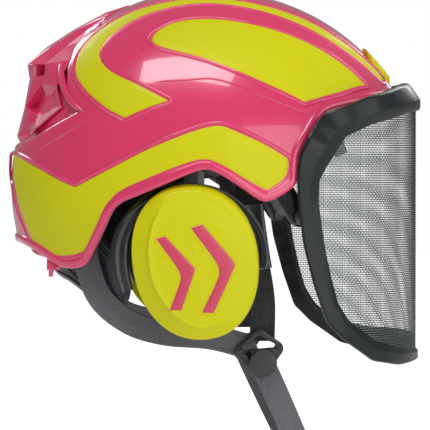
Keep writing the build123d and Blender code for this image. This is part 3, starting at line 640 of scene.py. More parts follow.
def shell_beads():
    """The raised lines of the right half of the crown: round each panel, between them and at the rear."""
    side = closed_outline(SIDE_PANEL)
    crown = closed_outline(CROWN_PANEL)
    band = closed_outline(CROWN_BAND)
    return [
        outline_bead(side, dome_side, 1.7, 1.9, 1.1),
        outline_bead(crown, dome_tilted, 1.5, 1.7, 1.0),
        outline_bead(band, dome_tilted, 1.5, 1.7, 1.0),
        open_bead([(-28.6, 3.1), (-6.6, 0.7), (15.6, 0.1), (52.6, -9.9), (90.4, -15.5)],
                  dome_tilted, 1.0, 0.7),
        open_bead([(15.5, -28.2), (40.5, -35.7), (72.7, -41.5)], dome_tilted, 1.0, 0.7),
        open_bead([(-75, 98.6), (-83.5, 90.2), (-90.5, 77.9), (-96, 62.5), (-97, 48.5), (-95, 31),
                   (-91, 18.3), (-86, 9.2), (-81.7, 3.0)], dome_tilted, 3.0, 2.6),
        open_bead([(-78.1, 100.5), (-98.6, 87.5), (-120.4, 73.9)], dome_side, 0.9, 0.6),
        rim_lip(),
    ]


# ------------------------------------------------------------------ yellow panels
def patch(loop, to_dome, pitch=2.6, rise=0.55, normal=dome_normal):
    """A cover panel: its outline filled with triangles, laid on the crown with rolled edges."""
    inward = -outward_of(loop)
    low, high = loop.min(0), loop.max(0)
    gx, gy = np.meshgrid(np.arange(low[0], high[0], pitch), np.arange(low[1], high[1], pitch * 0.87))
    gx[1::2] += pitch / 2
    grid = np.stack([gx.ravel(), gy.ravel()], 1)
    inner = [loop]
    for step in (0.35, 0.8, 1.4):
        ring = loop + inward * step
        keep = distances(ring, loop) > step * 0.85
        inner.append(ring[keep][::2 if step > 1 else 1])
    grid = grid[inside_loop(grid, loop)]
    grid = grid[distances(grid, loop) > 2.4]
    points = np.vstack(inner + [grid])
    n = len(loop)
    result = geometry.delaunay_2d_cdt(
        [Vector(p) for p in points], [(i, (i + 1) % n) for i in range(n)], [list(range(n))], 1, 1e-5)
    flat = np.array([tuple(v) for v in result[0]])
    d = distances(flat, loop)
    p = to_dome(flat)
    up = normal(p)
    crown = rise - 1.0 * (1 - ramp(d, -0.2, 1.3))
    top = p + up * crown[:, None]
    faces = [tuple(f) for f in result[2]]
    a, b, c = (top[list(i)] for i in zip(*[f[:3] for f in faces]))
    if np.mean(np.sum(np.cross(b - a, c - a) * up[[f[0] for f in faces]], 1)) < 0:
        faces = [tuple(reversed(f)) for f in faces]
    return top, faces


def make_panels():
    for name, outline, to_dome in (
            ("side_panel", SIDE_PANEL, dome_side), ("crown_panel", CROWN_PANEL, dome_tilted),
            ("crown_band", CROWN_BAND, dome_tilted)):
        panel = patch(closed_outline(outline), to_dome)
        thicken(both_sides(f"{name}_cover", panel, "panel_yellow", "shell", name + "_{side}"), 0.9)


# ------------------------------------------------------------------ rear vent hood
HOOD_POINTS = {
    # middle line, front to rear, then down the back
    "m0": (-43, 0, 190.6), "m1": (-61.8, 0, 184.5), "m2": (-86.3, 0, 171.1), "m3": (-107.2, 0, 157.5),
    "m4": (-122.4, 0, 143.9), "m5": (-120.8, 0, 132.2), "m6": (-124.8, 0, 110.2), "m7": (-130.6, 0, 88.5),
    "m8": (-127.8, 0, 82.3), "m9": (-129.4, 0, 76.1),
    # inner edge of the bright roof strip
    "r0": (-60, -5, 183.2), "r1": (-84, -8, 170.8), "r2": (-104.7, -12, 157.2), "r3": (-121.6, -11, 144.6),
    # outer edge of the roof strip
    "e0": (-62, -8, 181), "e1": (-77, -12, 169.8), "e2": (-93, -19, 157), "e3": (-109.1, -24, 143.3),
    # where the upper side wall meets the crown
    "w0": (-66, -14, 176), "w1": (-79, -24, 162), "w2": (-91, -37, 146), "w3": (-101, -42, 126),
    "w4": (-98, -55, 110), "w5": (-117, -42, 94),
    # the mouth below the roof
    "h0": (-118.4, -13, 143.4), "h1": (-118.4, -13, 133), "h2": (-109.8, -24, 135.4),
    # the sill and the second opening
    "s0": (-124.2, -12, 110.8), "s1": (-112.2, -24, 129.2), "s2": (-107, -25, 114),
    "s3": (-115.5, -24, 104.8), "s4": (-120.4, -22, 108), "s5": (-121.6, -22, 95.6),
    "s6": (-126.6, -12, 94.6), "s7": (-130, -12, 88.7),
    "s8": (-120.6, -24, 89.4), "s9": (-122.4, -24, 77.2), "t0": (-127, -12, 82.3), "t1": (-128.6, -12, 76),
    # inside the two openings
    "i0": (-103, -9, 141), "i1": (-103, -9, 132), "i2": (-98, -20, 134), "i3": (-98, -20, 142),
    "j0": (-112, -8, 110), "j1": (-104, -20, 126), "j2": (-100, -22, 113), "j3": (-107, -20, 104),
}
HOOD_FACES = [
    "m0 m1 r0", "m1 m2 r1 r0", "m2 m3 r2 r1", "m3 m4 r3 r2", "m0 r0 e0", "r0 r1 e1 e0", "r1 r2 e2 e1",
    "r2 r3 e3 e2", "m0 e0 w0", "e0 e1 w1 w0", "e1 e2 w2 w1", "e2 e3 w3 w2", "r3 h0 e3",
    "m4 m5 h1 h0", "m4 h0 r3", "e3 h2 s1 w3", "m5 s0 h1", "m5 m6 s0", "h1 s0 s1 h2", "w3 s1 s2 w4",
    "s2 s3 w5 w4", "s3 s4 s5 w5", "s0 s6 s5 s4", "m6 m7 s6 s0", "m7 s7 s6", "s6 s7 s8 s5", "s5 s8 w5",
    "m7 m8 t0 s7", "s7 t0 s9 s8", "m8 m9 t1 t0", "t0 t1 s9",
    "h0 i0 i3 e3", "h0 h1 i1 i0", "h1 h2 i2 i1", "h2 e3 i3 i2", "i0 i1 i2 i3",
    "s0 j0 j1 s1", "s1 j1 j2 s2", "s2 j2 j3 s3", "s3 j3 s4", "s4 j3 j0 s0", "j0 j3 j2 j1",
]


ROOF_Z = 150.0                            # faces above this are the hood's roof, and face up


def make_hood():
    """The faceted vent hood at the back of the crown, with a mouth and a slanted opening each side."""
    bm = bmesh.new()
    for side in (1, -1):
        made = {k: bm.verts.new((x * MM, y * side * MM, z * MM)) for k, (x, y, z) in HOOD_POINTS.items()}
        for face in HOOD_FACES:
            bm.faces.new([made[k] for k in face.split()])
    bmesh.ops.remove_doubles(bm, verts=bm.verts, dist=0.01 * MM)
    bmesh.ops.recalc_face_normals(bm, faces=bm.faces)
    bmesh.ops.triangulate(bm, faces=bm.faces)
    roof = [f for f in bm.faces if f.calc_center_median().z > ROOF_Z * MM]
    if sum(f.normal.z for f in roof) < 0:
        bmesh.ops.reverse_faces(bm, faces=bm.faces)
    mesh = bpy.data.meshes.new("vent_hood")
    bm.to_mesh(mesh)
    bm.free()
    obj = adopt(added("vent_hood", mesh), "shell_pink", "shell", ["rear_vent_hood"])
    modifier(obj, "SOLIDIFY", thickness=1.5 * MM, offset=-1)
    bevel(obj, 0.7, 2, 18)
    apply_modifiers(obj)


# ------------------------------------------------------------------ visor
VISOR_HIGH = corners("visor_frame")[1]
VISOR_X = 80.0                            # centre of the visor's plan ellipse
VISOR_A, VISOR_B = VISOR_HIGH[0] - VISOR_X, VISOR_HIGH[1]
BAR_OUTER = [(186, 130), (170, 127), (132, 117.5), (97, 105), (86, 92), (77, 75), (75, 60), (76, 38),
             (80, 8), (88, -22), (98, -50), (112, -63.5), (136, -80), (160, -85), (186, -84)]
BAR_INNER = [(186, 110.4), (170, 106.5), (135, 97), (114, 88), (105.5, 76), (98, 65), (92.5, 55),
             (92, 38), (97, 5), (102, -17), (107.5, -36), (116, -49), (138, -65), (160, -71.5), (186, -75)]
PER_STRETCH = 9                           # points along each stretch of a bar
# across the bar from its outer edge: share of the width, depth under the plan ellipse
BAR_SECTION = [(0.0, 4.4), (0.0, 1.2), (0.05, 0.3), (0.1, 0.0), (0.6, 0.0), (0.64, 0.25), (0.9, 2.2),
               (1.0, 3.2), (1.0, 4.6), (0.9, 5.2)]


def turn_of(x):
    return math.acos(max(-1.0, min(1.0, (x - VISOR_X) / VISOR_A)))


def on_visor(turn, z, depth):
    """A point on the visor's plan ellipse, at a depth inside it. turn is 0 at the nose."""
    turn, z, depth = np.broadcast_arrays(turn, z, depth)
    n = np.stack([np.cos(turn) / VISOR_A, -np.sin(turn) / VISOR_B], -1)
    n = n / np.linalg.norm(n, axis=-1, keepdims=True)
    x = VISOR_X + VISOR_A * np.cos(turn) - n[..., 0] * depth
    y = -VISOR_B * np.sin(turn) - n[..., 1] * depth
    return np.stack([x, y, z], -1)


def bar_line(points):
    """A bar outline as (turn, z), with soft corners and the same number of points per stretch."""
    p = np.array([(turn_of(x), z) for x, z in points])
    out = []
    for a, b in zip(p, p[1:]):
        out.append(a + np.linspace(0, 1, PER_STRETCH, endpoint=False)[:, None] * (b - a))
    line = np.vstack(out + [p[-1:]])
    line[1:-1] = 0.5 * line[1:-1] + 0.25 * (line[:-2] + line[2:])
    return line


def both_ways(line):
    """A right-half line continued over the nose onto the left: top bar to bottom bar and round."""
    left = line[::-1].copy()
    left[:, 0] *= -1
    return np.vstack([line, left[1:-1]])


def lean(z, turn):
    """How far the top bar leans in towards the shell; the side bars stand upright."""
    return 11 * ramp(z, 98, 130) * ramp(-np.abs(turn), -1.3, -0.5)


def make_visor_frame():
    """The bar all round the mesh, with a shelf of ribs along its bottom."""
    outer, inner = bar_line(BAR_OUTER), bar_line(BAR_INNER)
    rows = []
    # the outer edge sinks in at the upper corners, three and a half stretches from the nose
    corner = np.clip(1.4 - np.abs(np.arange(len(outer)) - 3.5 * PER_STRETCH) / 5, 0, 1)
    corner = np.concatenate([corner, corner[::-1][1:-1]])
    for share, depth in BAR_SECTION:
        turn, z = both_ways(outer + share * (inner - outer)).T
        chin = 4.0 * ramp(-z, 50, 76) * ramp(-np.abs(turn), -1.1, -0.4)
        rows.append(on_visor(turn, z, depth + chin + (lean(z, turn) + 4 * corner) * (1 - share)))
    bar = (np.stack(rows, 1).reshape(-1, 3), tube_faces(len(rows[0]), len(rows), True))
    parts = [(bar[0], [tuple(reversed(f)) for f in bar[1]])]
    # ribs of the drip shelf between the bottom bar and the mesh, closing up towards its ends
    shelf_turn = np.linspace(-1.0, 1.0, 90)
    low_bar = np.array([(turn_of(x), z) for x, z in BAR_INNER[:9:-1]])
    z_low = np.interp(np.abs(shelf_turn), low_bar[:, 0], low_bar[:, 1])
    rise = 0.15 + 1.2 * np.sqrt(np.clip(1 - np.abs(shelf_turn), 0, 1))
    for k in range(9):
        line = on_visor(shelf_turn, z_low - 0.5 + rise * k, 6.6 + 0.3 * k)
        up = np.tile([0, 0, 1.0], (len(line), 1))
        parts.append(swept(line, up, [(-0.5, -0.6), (0.5, -0.6), (0.45, 0.15), (0, 0.35), (-0.45, 0.15)]))
    obj = piece("visor_bar", *joined(parts), "visor_plastic", "visor", ["visor_frame"])
    obj.data.set_sharp_from_angle(angle=math.radians(16))


def spans(loop, axis, value):
    """Where the line loop[axis] = value runs inside a closed 2-D loop."""
    a, b = loop, np.roll(loop, -1, 0)
    hit = (a[:, axis] > value) != (b[:, axis] > value)
    a, b = a[hit], b[hit]
    t = (value - a[:, axis]) / (b[:, axis] - a[:, axis])
    cuts = np.sort(a[:, 1 - axis] + t * (b[:, 1 - axis] - a[:, 1 - axis]))
    return list(zip(cuts[::2], cuts[1::2]))


WIRE_PITCH, LEVEL_WIRE, UPRIGHT_WIRE = 1.75, 0.62, 0.26
CRIMP = 0.3                               # level wires bend up and down by this much
MESH_DEPTH = 6.0                          # under the plan ellipse
CLIP = [(105, 79), (114, 84), (117, 76), (108, 72.5)]


def wire(line, half, inner):
    """A three-sided wire: its two outer edges lie half to each side, its inner edge behind them."""
    rings = np.stack([line + half, line - half, line + inner], 1).reshape(-1, 3)
    return rings, tube_faces(len(line), 3, False)[:-2]


def make_visor_mesh():
    """Woven wire: crimped level wires bent round the plan, thin upright wires behind them."""
    outer, inner = bar_line(BAR_OUTER), bar_line(BAR_INNER)
    loop = both_ways(inner + 0.25 * (outer - inner))
    parts = []
    step = WIRE_PITCH / VISOR_B
    for row, z in enumerate(np.arange(loop[:, 1].min() + 1, loop[:, 1].max() - 1, WIRE_PITCH)):
        for start, end in spans(loop, 1, z):
            turn = np.linspace(start, end, max(4, int((end - start) / step * 2)))
            wave = CRIMP * np.cos(math.pi * (turn / step + row))
            line = on_visor(turn, z + wave, MESH_DEPTH)
            inwards = unit((line - [VISOR_X, 0, 0]) * [1, 1, 0])
            parts.append(wire(line, np.array([0, 0, LEVEL_WIRE / 2]), -inwards * LEVEL_WIRE / 2))
    for turn in np.arange(loop[:, 0].min() + step / 2, loop[:, 0].max(), step):
        across = np.array([-math.sin(turn), -math.cos(turn), 0]) * UPRIGHT_WIRE / 2
        inwards = np.array([math.cos(turn), -math.sin(turn), 0]) * UPRIGHT_WIRE / 2
        for low, high in spans(loop, 0, turn):
            ends = on_visor(turn, np.array([low, high]), MESH_DEPTH + LEVEL_WIRE / 2)
            parts.append(wire(ends, across, -inwards))
    piece("wire_mesh", *joined(parts), "mesh_steel", "visor", ["visor_mesh"], smooth=False)


def make_mesh_clips():
    """A clip behind the mesh at each upper corner."""
    rings = []
    for depth, inset in ((7.0, 0.0), (10.4, 0.0), (11.2, 0.12)):
        middle = np.mean(CLIP, 0)
        ring = np.array(CLIP) + inset * (middle - CLIP)
        rings.append(on_visor(np.array([turn_of(x) for x in ring[:, 0]]), ring[:, 1], depth))
    faces = [tuple(reversed(f)) for f in grid_faces(3, 4, True)] + [(0, 1, 2, 3), (11, 10, 9, 8)]
    for obj in both_sides("mesh_clip", (np.vstack(rings), faces), "arm_plastic", "visor", "mesh_clips",
                          smooth=False):
        bevel(obj, 0.4, 2, 30)
        apply_modifiers(obj)


# ------------------------------------------------------------------ ear muffs
COVER_LOW, COVER_HIGH = corners("cup_cover_right")
CUP_X, CUP_Z = (COVER_LOW[0] + COVER_HIGH[0]) / 2 + 0.3, (COVER_LOW[2] + COVER_HIGH[2]) / 2
CUP_W, CUP_H = (COVER_HIGH[0] - COVER_LOW[0]) / 2 - 1.3, (COVER_HIGH[2] - COVER_LOW[2]) / 2
CUP_TOP, CUP_BOTTOM = CUP_H - 0.6, CUP_H + 5.3   # heights above and below its centre
CUP_LEAN, SQUARE = 0.07, 2.15             # the oval leans forward at the bottom
FACE_Y = -COVER_LOW[1]


def cup_outline(angle, grow=0.0):
    """The cover's slightly squared oval."""
    c, s = np.cos(angle), np.sin(angle)
    k = (np.abs(c) ** SQUARE + np.abs(s) ** SQUARE) ** (-1 / SQUARE)
    z = (np.where(s > 0, CUP_TOP, CUP_BOTTOM) + grow) * s * k
    return CUP_X + (CUP_W + grow) * c * k - CUP_LEAN * z, CUP_Z + z


def cover_height(x, z):
    """|Y| of the cover's outer surface: a shallow dome, a sloping band at the lower rear, and two
    low steps round its upper front."""
    dz = (z - CUP_Z) / np.where(z > CUP_Z, CUP_TOP, CUP_BOTTOM)
    dx = (x - CUP_X + CUP_LEAN * (z - CUP_Z)) / CUP_W
    angle = np.arctan2(dz, dx)
    radius = (np.abs(dx) ** SQUARE + np.abs(dz) ** SQUARE) ** (1 / SQUARE)
    step = ramp(np.cos(angle - math.radians(212)), -0.15, 0.45)
    crease = 0.86 - 0.1 * ramp(np.cos(angle - math.radians(190)), 0.1, 0.95)
    face = FACE_Y - 1.6 * radius ** 2
    out = np.clip((radius - crease) / (1 - crease), 0, 1)
    edge = FACE_Y - 1.6 * crease ** 2
    chamfer = edge - 1.4 * ramp(out, 0, 0.1) - 8.2 * out
    depth = 6.5 + 4.4 * ramp(np.sin(angle), 0.1, 0.7)
    rounded = edge - depth * (1 - np.sqrt(np.clip(1 - out ** 2, 0, 1)))
    lip = 0.6 * np.exp(-((radius - crease + 0.02) / 0.018) ** 2) * step
    front = ramp(np.cos(angle - math.radians(62)), 0.35, 0.8)
    ridges = 0.5 * front * (ramp(-radius, -0.78, -0.74) + ramp(-radius, -0.67, -0.63))
    side = step * chamfer + (1 - step) * rounded
    return np.where(radius < crease, face, side) + lip + ridges - 0.5 * front


def make_cup_cover():
    """Rings of points from the middle of the face out to its edge, then back along the sides."""
    stretches = ((0.04, 0.72, 12), (0.74, 0.9, 17), (0.91, 1.0, 10))
    rings = np.concatenate([np.linspace(*stretch) for stretch in stretches])
    count = 160
    angle = np.linspace(0, 2 * math.pi, count, endpoint=False)
    ox, oz = cup_outline(angle)
    rows = []
    for r in rings:
        x, z = CUP_X + (ox - CUP_X) * r, CUP_Z + (oz - CUP_Z) * r
        rows.append(np.stack([x, -cover_height(x, z), z], 1))
    low = -rows[-1][:, 1]
    back = -COVER_HIGH[1]
    for share, r in ((0.15, 1.002), (0.5, 1.003), (0.9, 1.0), (1.0, 0.985), (1.0, 0.9)):
        x, z = CUP_X + (ox - CUP_X) * r, CUP_Z + (oz - CUP_Z) * r
        rows.append(np.stack([x, -(low + (back - low) * share), z], 1))
    verts = np.vstack(rows)
    faces = [tuple(reversed(f)) for f in grid_faces(len(rows), count, True)]
    faces.append(tuple(range(count)))
    faces.append(tuple((len(rows) - 1) * count + i for i in range(count))[::-1])
    both_sides("ear_cup_cover", (verts, faces), "panel_yellow", "cup_{side}", "cup_cover_{side}")


CHEVRONS = [
    [[(-30.3, 13), (-22.3, 15.4)],
     [(-22.3, 15.4), (-2.2, -6.6), (-0.1, -9.2), (-0.6, -12.6), (-10, -40.6)],
     [(-10, -40.6), (-20.4, -40.6)],
     [(-20.4, -40.6), (-12.6, -20), (-12, -14.9), (-14.3, -9.4), (-30.3, 13)]],
    [[(-5, 20.9), (5, 24)], [(5, 24), (26.8, -1.8), (29.3, -5.4), (28.8, -9.2), (13.6, -42.8)],
     [(13.6, -42.8), (3.5, -42.4)], [(3.5, -42.4), (16, -15.4), (16.2, -9.8), (14, -4.6), (-5, 20.9)]],
]


def on_cover(points):
    x, z = np.asarray(points, float).T
    return np.stack([x, -cover_height(x, z), z], 1)


def outwards(points):
    return np.tile([0.0, -1.0, 0.0], (len(points), 1))


def make_chevrons():
    """Two inlaid V shapes on each cup, each in a thin raised rim."""
    inlays, rims = [], []
    for outline in CHEVRONS:
        loop = closed_outline(outline, 0.6, 1)
        inlays.append(patch(loop, on_cover, 2.2, 0.35, outwards))
        rims.append(outline_bead(loop, on_cover, 0.35, 0.5, 0.35, outwards))
    made = both_sides("chevron_inlays", joined(inlays), "chevron_pink", "cup_{side}", "cup_chevrons_{side}")
    thicken(made, 0.7)
    both_sides("chevron_rims", joined(rims), "panel_yellow", "cup_{side}")


YOKE_PATH = [(-51, -27), (-54.5, -14), (-55.5, 0), (-53.5, 13), (-46.5, 27), (-34, 38.5), (-18.5, 47.5),
             (-2, 50.6), (15, 48.2), (31, 39.5), (43, 27), (50.5, 13), (52.7, -3), (51.5, -10)]
YOKE_WIDTH = [11.5, 13, 13.5, 12.5, 9, 5.5, 4.6, 5, 4.6, 4.6, 4.6, 4.8, 6, 6]
YOKE_Y = -99.0
# (x, radius) along the hinge barrel, which has a wider collar at each end
BARREL = [(-8.7, 2.6), (-8.7, 5.0), (-8.2, 5.6), (-3, 5.6), (-2.6, 5.0), (2.6, 5.0), (3, 5.6), (8.2, 5.6),
          (8.7, 5.0), (8.7, 2.6)]


def make_yoke():
    """The muff arm: a hoop round the cup, broad behind it, hung from its hinge barrel."""
    path = resample(smooth_curve(YOKE_PATH, 1.0), 1.6)
    key = np.linspace(0, 1, len(YOKE_WIDTH))
    width = np.interp(np.linspace(0, 1, len(path)), key, YOKE_WIDTH)
    line = np.stack([path[:, 0], np.full(len(path), YOKE_Y), path[:, 1]], 1)
    half = 2.0
    profile = [
        (-0.5, -1.4), (-0.44, -half), (0.44, -half), (0.5, -1.4), (0.5, 1.2), (0.42, half),
        (0.15, half + 0.1), (0.05, half - 0.5), (-0.05, half - 0.5), (-0.15, half + 0.1), (-0.42, half),
        (-0.5, 1.2)]
    hoop = swept(line, outwards(line), profile, stretch=width)
    hinge = joint("muff_right_swing")["pos_m"]
    hy, hz = hinge[1] / MM, hinge[2] / MM
    count = 28
    a = np.linspace(0, 2 * math.pi, count, endpoint=False)
    rings = [np.stack([np.full(count, x), hy + r * np.cos(a), hz + r * np.sin(a)], 1) for x, r in BARREL]
    last = (len(BARREL) - 1) * count
    bore = [(last + c, last + (c + 1) % count, (c + 1) % count, c) for c in range(count)]
    barrel = (np.vstack(rings), grid_faces(len(BARREL), count, True) + bore)
    neck_line = np.array([[0, YOKE_Y, z] for z in np.linspace(50, 66, 9)], float)
    neck = swept(neck_line, outwards(neck_line), [
        (-7.5, -1.9), (7.5, -1.9), (7.5, 1.4), (5, 2.0), (1.5, 2.0), (1.2, 1.2), (-1.2, 1.2), (-1.5, 2.0),
        (-5, 2.0), (-7.5, 1.4)])
    made = both_sides("muff_yoke", joined([hoop, barrel, neck]), "cup_black", "arm_{side}", "muff_arm_{side}")
    for obj in made:
        obj.data.set_sharp_from_angle(angle=math.radians(40))


# ------------------------------------------------------------------ straps
def ribbon(points, outs, width, thick):
    """Flat webbing with rounded, slightly thicker edges. UV is millimetres across and along."""
    across, up = across_up(points, outs)
    h, k = width / 2, thick / 2
    section = [(-h, 0), (-h + 0.25, k), (-h + 1.4, k * 1.12), (-h + 2.0, k * 0.88)]
    section += [(s * (h - 2.0), k * 0.92) for s in (-0.5, 0, 0.5)]
    section += [(-x, y) for x, y in section[3::-1]]
    section += [(x, -y) for x, y in section[-2:0:-1]]
    s = run_length(points)
    rows, uv = [], []
    for x, y in section:
        rows.append(points + across * x + up * y)
        uv.append(np.stack([np.full(len(points), x + (0 if y >= 0 else 40)), s], 1))
    verts = np.stack(rows, 1).reshape(-1, 3)
    return (verts, tube_faces(len(points), len(section), False)), np.stack(uv, 1).reshape(-1, 2)


def stitches(points, outs, offset, lift, pitch=2.6, length=1.7):
    """A row of raised thread stitches beside a strap's middle line."""
    across, up = across_up(points, outs)
    s = run_length(points)
    parts = []
    for start in np.arange(1, s[-1] - length - 1, pitch):
        at = np.linspace(start, start + length, 5)
        line, normal = (
            np.stack([np.interp(at, s, v[:, k]) for k in range(3)], 1)
            for v in (points + across * offset + up * lift, up))
        line = line + normal * (0.22 * np.sin(np.linspace(0, math.pi, 5)))[:, None]
        parts.append(swept(line, normal, [(0.22, 0), (0, 0.22), (-0.22, 0), (0, -0.22)]))
    return joined(parts)


FRONT_PATH = [(42, 60), (43, 34), (47.5, 0), (53, -34), (53, -66)]
REAR_PATH = [(-81, 16), (-78, -8), (-68, -34), (-46, -52), (-20, -60), (14, -63), (42, -70)]
STRAP_W, STRAP_T = 19.0, 1.4
STITCH_ROWS = (-6.5, 6.5)                 # distances from a strap's middle line


def side_strap_line(path, y_at):
    """A strap's middle line on the right side, where y_at(x) is its distance from the middle plane."""
    p = resample(smooth_curve(path, 1.0), 1.5)
    return np.stack([p[:, 0], -np.array([y_at(x) for x in p[:, 0]]), p[:, 1]], 1)


def make_straps():
    """The front and rear webbing of each side, and the glossy sleeve on the front one."""
    low, high = corners("chin_strap_front_right")
    front_y = -(low[1] + high[1]) / 2
    front = side_strap_line(FRONT_PATH, lambda x: front_y)
    rear = side_strap_line(REAR_PATH, lambda x: 70.6 + 0.075 * x)
    for name, line, slot in (("front", front, "webbing_black"), ("rear", rear, "webbing_grey")):
        tape, uv = ribbon(line, outwards(line), STRAP_W, STRAP_T)
        both_sides(f"chin_webbing_{name}", tape, slot, "shell", f"chin_strap_{name}_{{side}}", uv=uv)
        rows = [stitches(line[-14:], outwards(line[-14:]), o, STRAP_T / 2) for o in STITCH_ROWS]
        both_sides(f"stitching_{name}", joined(rows), "button_grey", "shell")
    sleeve = front[(front[:, 2] < 38) & (front[:, 2] > -14)]
    h, k = STRAP_W / 2 + 1.4, 1.6
    profile = [(-h, -k + 0.4), (-h + 0.5, -k), (h - 0.5, -k), (h, -k + 0.4), (h, k - 0.5), (h - 0.6, k),
               (h - 3, k + 0.1), (h - 3.6, k - 0.35), (-h + 3.6, k - 0.35), (-h + 3, k + 0.1), (-h + 0.6, k),
               (-h, k - 0.5)]
    tube = swept(sleeve, outwards(sleeve), profile)
    both_sides("strap_sleeve", tube, "harness_plastic", "shell", "strap_sleeves")


LOOP_DOWN = np.array([0.416, 0, -0.909])      # from the sliders towards the chin
LOOP_OUT = np.array([0.909, 0, 0.416])        # across the width of the loop's webbing
# (y, height above the pivot along the loop) of the right half
LOOP_PATH = [(-72.1, 6), (-71.6, -6), (-69.4, -30), (-52, -68), (-34, -82), (-17.2, -86)]


def make_chin_loop():
    pivot = np.array(joint("chin_loop_swing")["pos_m"]) / MM
    p = resample(smooth_curve(LOOP_PATH, 1.0), 1.5)
    line = pivot - LOOP_DOWN * p[:, 1:2] + np.array([0, 1.0, 0]) * p[:, 0:1]
    outs = unit(np.cross(LOOP_OUT, tangents(line, False)))
    tape, uv = ribbon(line, outs, STRAP_W, STRAP_T)
    both_sides("chin_webbing_lower", tape, "webbing_grey", "chin_loop", "chin_strap_lower_{side}", uv=uv)
    rows = [stitches(line[2:16], outs[2:16], o, s * STRAP_T / 2) for o in STITCH_ROWS for s in (-1, 1)]
    both_sides("stitching_lower", joined(rows), "button_grey", "chin_loop")


def soften(name, width, segments=3):
    """Round the edges of a CAD part without moving its faces."""
    obj = NODES[name]
    shade_smooth(obj.data)
    modifier(obj, "WELD", merge_threshold=0.00001)
    bevel(obj, width, segments, 30, harden_normals=True)


# ------------------------------------------------------------------ nape cradle
NAPE_X, NAPE_A, NAPE_B = -40.0, 62.0, 64.0
NAPE_R = 63.0                             # millimetres round the plate for each radian
NAPE_SIDE = [(-92, -22), (-80, -31), (-70, -42.5), (-62, -47), (-54, -44.5), (-45.5, -31), (-50, -8),
             (-66, 12), (-82, 25), (-89, 40), (-91, 53)]


def on_nape(points):
    u, z = np.asarray(points, float).T
    turn = u / NAPE_R
    return np.stack([NAPE_X - NAPE_A * np.cos(turn), -NAPE_B * np.sin(turn), z], 1)


def nape_normal(p):
    n = np.stack([(p[:, 0] - NAPE_X) / NAPE_A ** 2, p[:, 1] / NAPE_B ** 2, np.zeros(len(p))], 1)
    return unit(n)


def make_nape_cradle():
    """The cradle behind the head: a curved plate with a raised border and ribs."""
    side = smooth_curve(NAPE_SIDE, 1.0)
    u = NAPE_R * np.arccos(np.clip((NAPE_X - side[:, 0]) / NAPE_A, -1, 1))
    half = np.stack([u, side[:, 1]], 1)
    loop = np.vstack([[[0, -15.0]], half, [[0, 53.0]], half[::-1] * [-1, 1]])
    loop = softened(resample(loop, 1.2, True), 8)
    plate = piece("nape_plate", *patch(loop, on_nape, 2.6, 0.4, nape_normal), "harness_plastic",
                  "nape_unit", ["nape_cradle"])
    thicken([plate], 2.6)
    ribs = [outline_bead(loop, on_nape, gap, half_width, height, nape_normal)
            for gap, half_width, height in ((-3.0, 1.6, 1.4), (-8.5, 1.1, 1.0))]
    for s in (-1, 1):
        for path in (
                [(26, -6), (48, -20), (70, -34)], [(26, 4), (50, -9), (78, -26)],
                [(26, 14), (46, 4), (72, -10)]):
            line = on_nape(resample(smooth_curve([(s * a, b) for a, b in path], 1.0), 1.4))
            ribs.append(swept(line, nape_normal(line), bead_profile(1.3, 1.3)))
    piece("nape_ribs", *joined(ribs), "harness_plastic", "nape_unit")


# ------------------------------------------------------------------ padding
def cad_copy(name, source, shrink):
    """A loose copy of a CAD solid, pulled in along its normals."""
    mesh = NODES[source].data.copy()
    mesh.materials.clear()
    obj = added(name, mesh)
    bm = bmesh.new()
    bm.from_mesh(mesh)
    bmesh.ops.remove_doubles(bm, verts=bm.verts, dist=0.02 * MM)
    bmesh.ops.recalc_face_normals(bm, faces=bm.faces)
    for v in bm.verts:
        v.co -= v.normal * shrink * MM
    bm.to_mesh(mesh)
    bm.free()
    return obj


def vertices_of(obj):
    co = np.zeros(len(obj.data.vertices) * 3)
    obj.data.vertices.foreach_get("co", co)
    return co.reshape(-1, 3)


def puffed(name, source, slot, body, cap, voxel=2.2, pressure=4.0, shrink=0.6):
    """A pad: its CAD solid remeshed, blown up a little as cloth, and smoothed."""
    obj = cad_copy(name, source, shrink)
    modifier(obj, "REMESH", mode="VOXEL", voxel_size=voxel * MM)
    apply_modifiers(obj)
    rest = vertices_of(obj)
    cloth = modifier(obj, "CLOTH")
    cloth.settings.use_pressure = True
    cloth.settings.uniform_pressure_force = pressure
    cloth.settings.effector_weights.gravity = 0
    cloth.settings.quality = 5
    cloth.settings.tension_stiffness = 8
    cloth.settings.bending_stiffness = 0.3
    for step in range(1, 21):
        bpy.context.scene.frame_set(step)
    apply_modifiers(obj)
    bpy.context.scene.frame_set(1)
    delta = vertices_of(obj) - rest
    length = np.linalg.norm(delta, axis=1, keepdims=True)
    rest = rest + delta * np.minimum(1, cap * MM / np.maximum(length, 1e-9))
    obj.data.vertices.foreach_set("co", rest.ravel())
    modifier(obj, "SMOOTH", factor=0.5, iterations=4)
    modifier(obj, "SUBSURF", levels=1)
    apply_modifiers(obj)
    shade_smooth(obj.data)
    return adopt(obj, slot, body, [source])


def mirror_piece(obj, name, slot, body, source):
    mesh = obj.data.copy()
    mesh.transform(Matrix.Diagonal((1, -1, 1, 1)))
    mesh.flip_normals()
    adopt(added(name, mesh), slot, body, [source])


def make_padding():
    for node_name, slot, cap in (("ear_cushion", "cushion_vinyl", 1.2), ("ear_foam", "foam", 0.8)):
        right = puffed(f"{node_name}_soft_right", f"{node_name}_right", slot, "cup_right", cap)
        mirror_piece(right, f"{node_name}_soft_left", slot, "cup_left", f"{node_name}_left")
    puffed("brow_pad", "sweatband", "padding", "shell", 0.8, 1.4, shrink=0.4)
    puffed("crown_cushion", "crown_pad", "padding", "shell", 1.5, 2.0)
    puffed("nape_cushion", "nape_pad", "padding", "nape_unit", 1.0, 1.7)


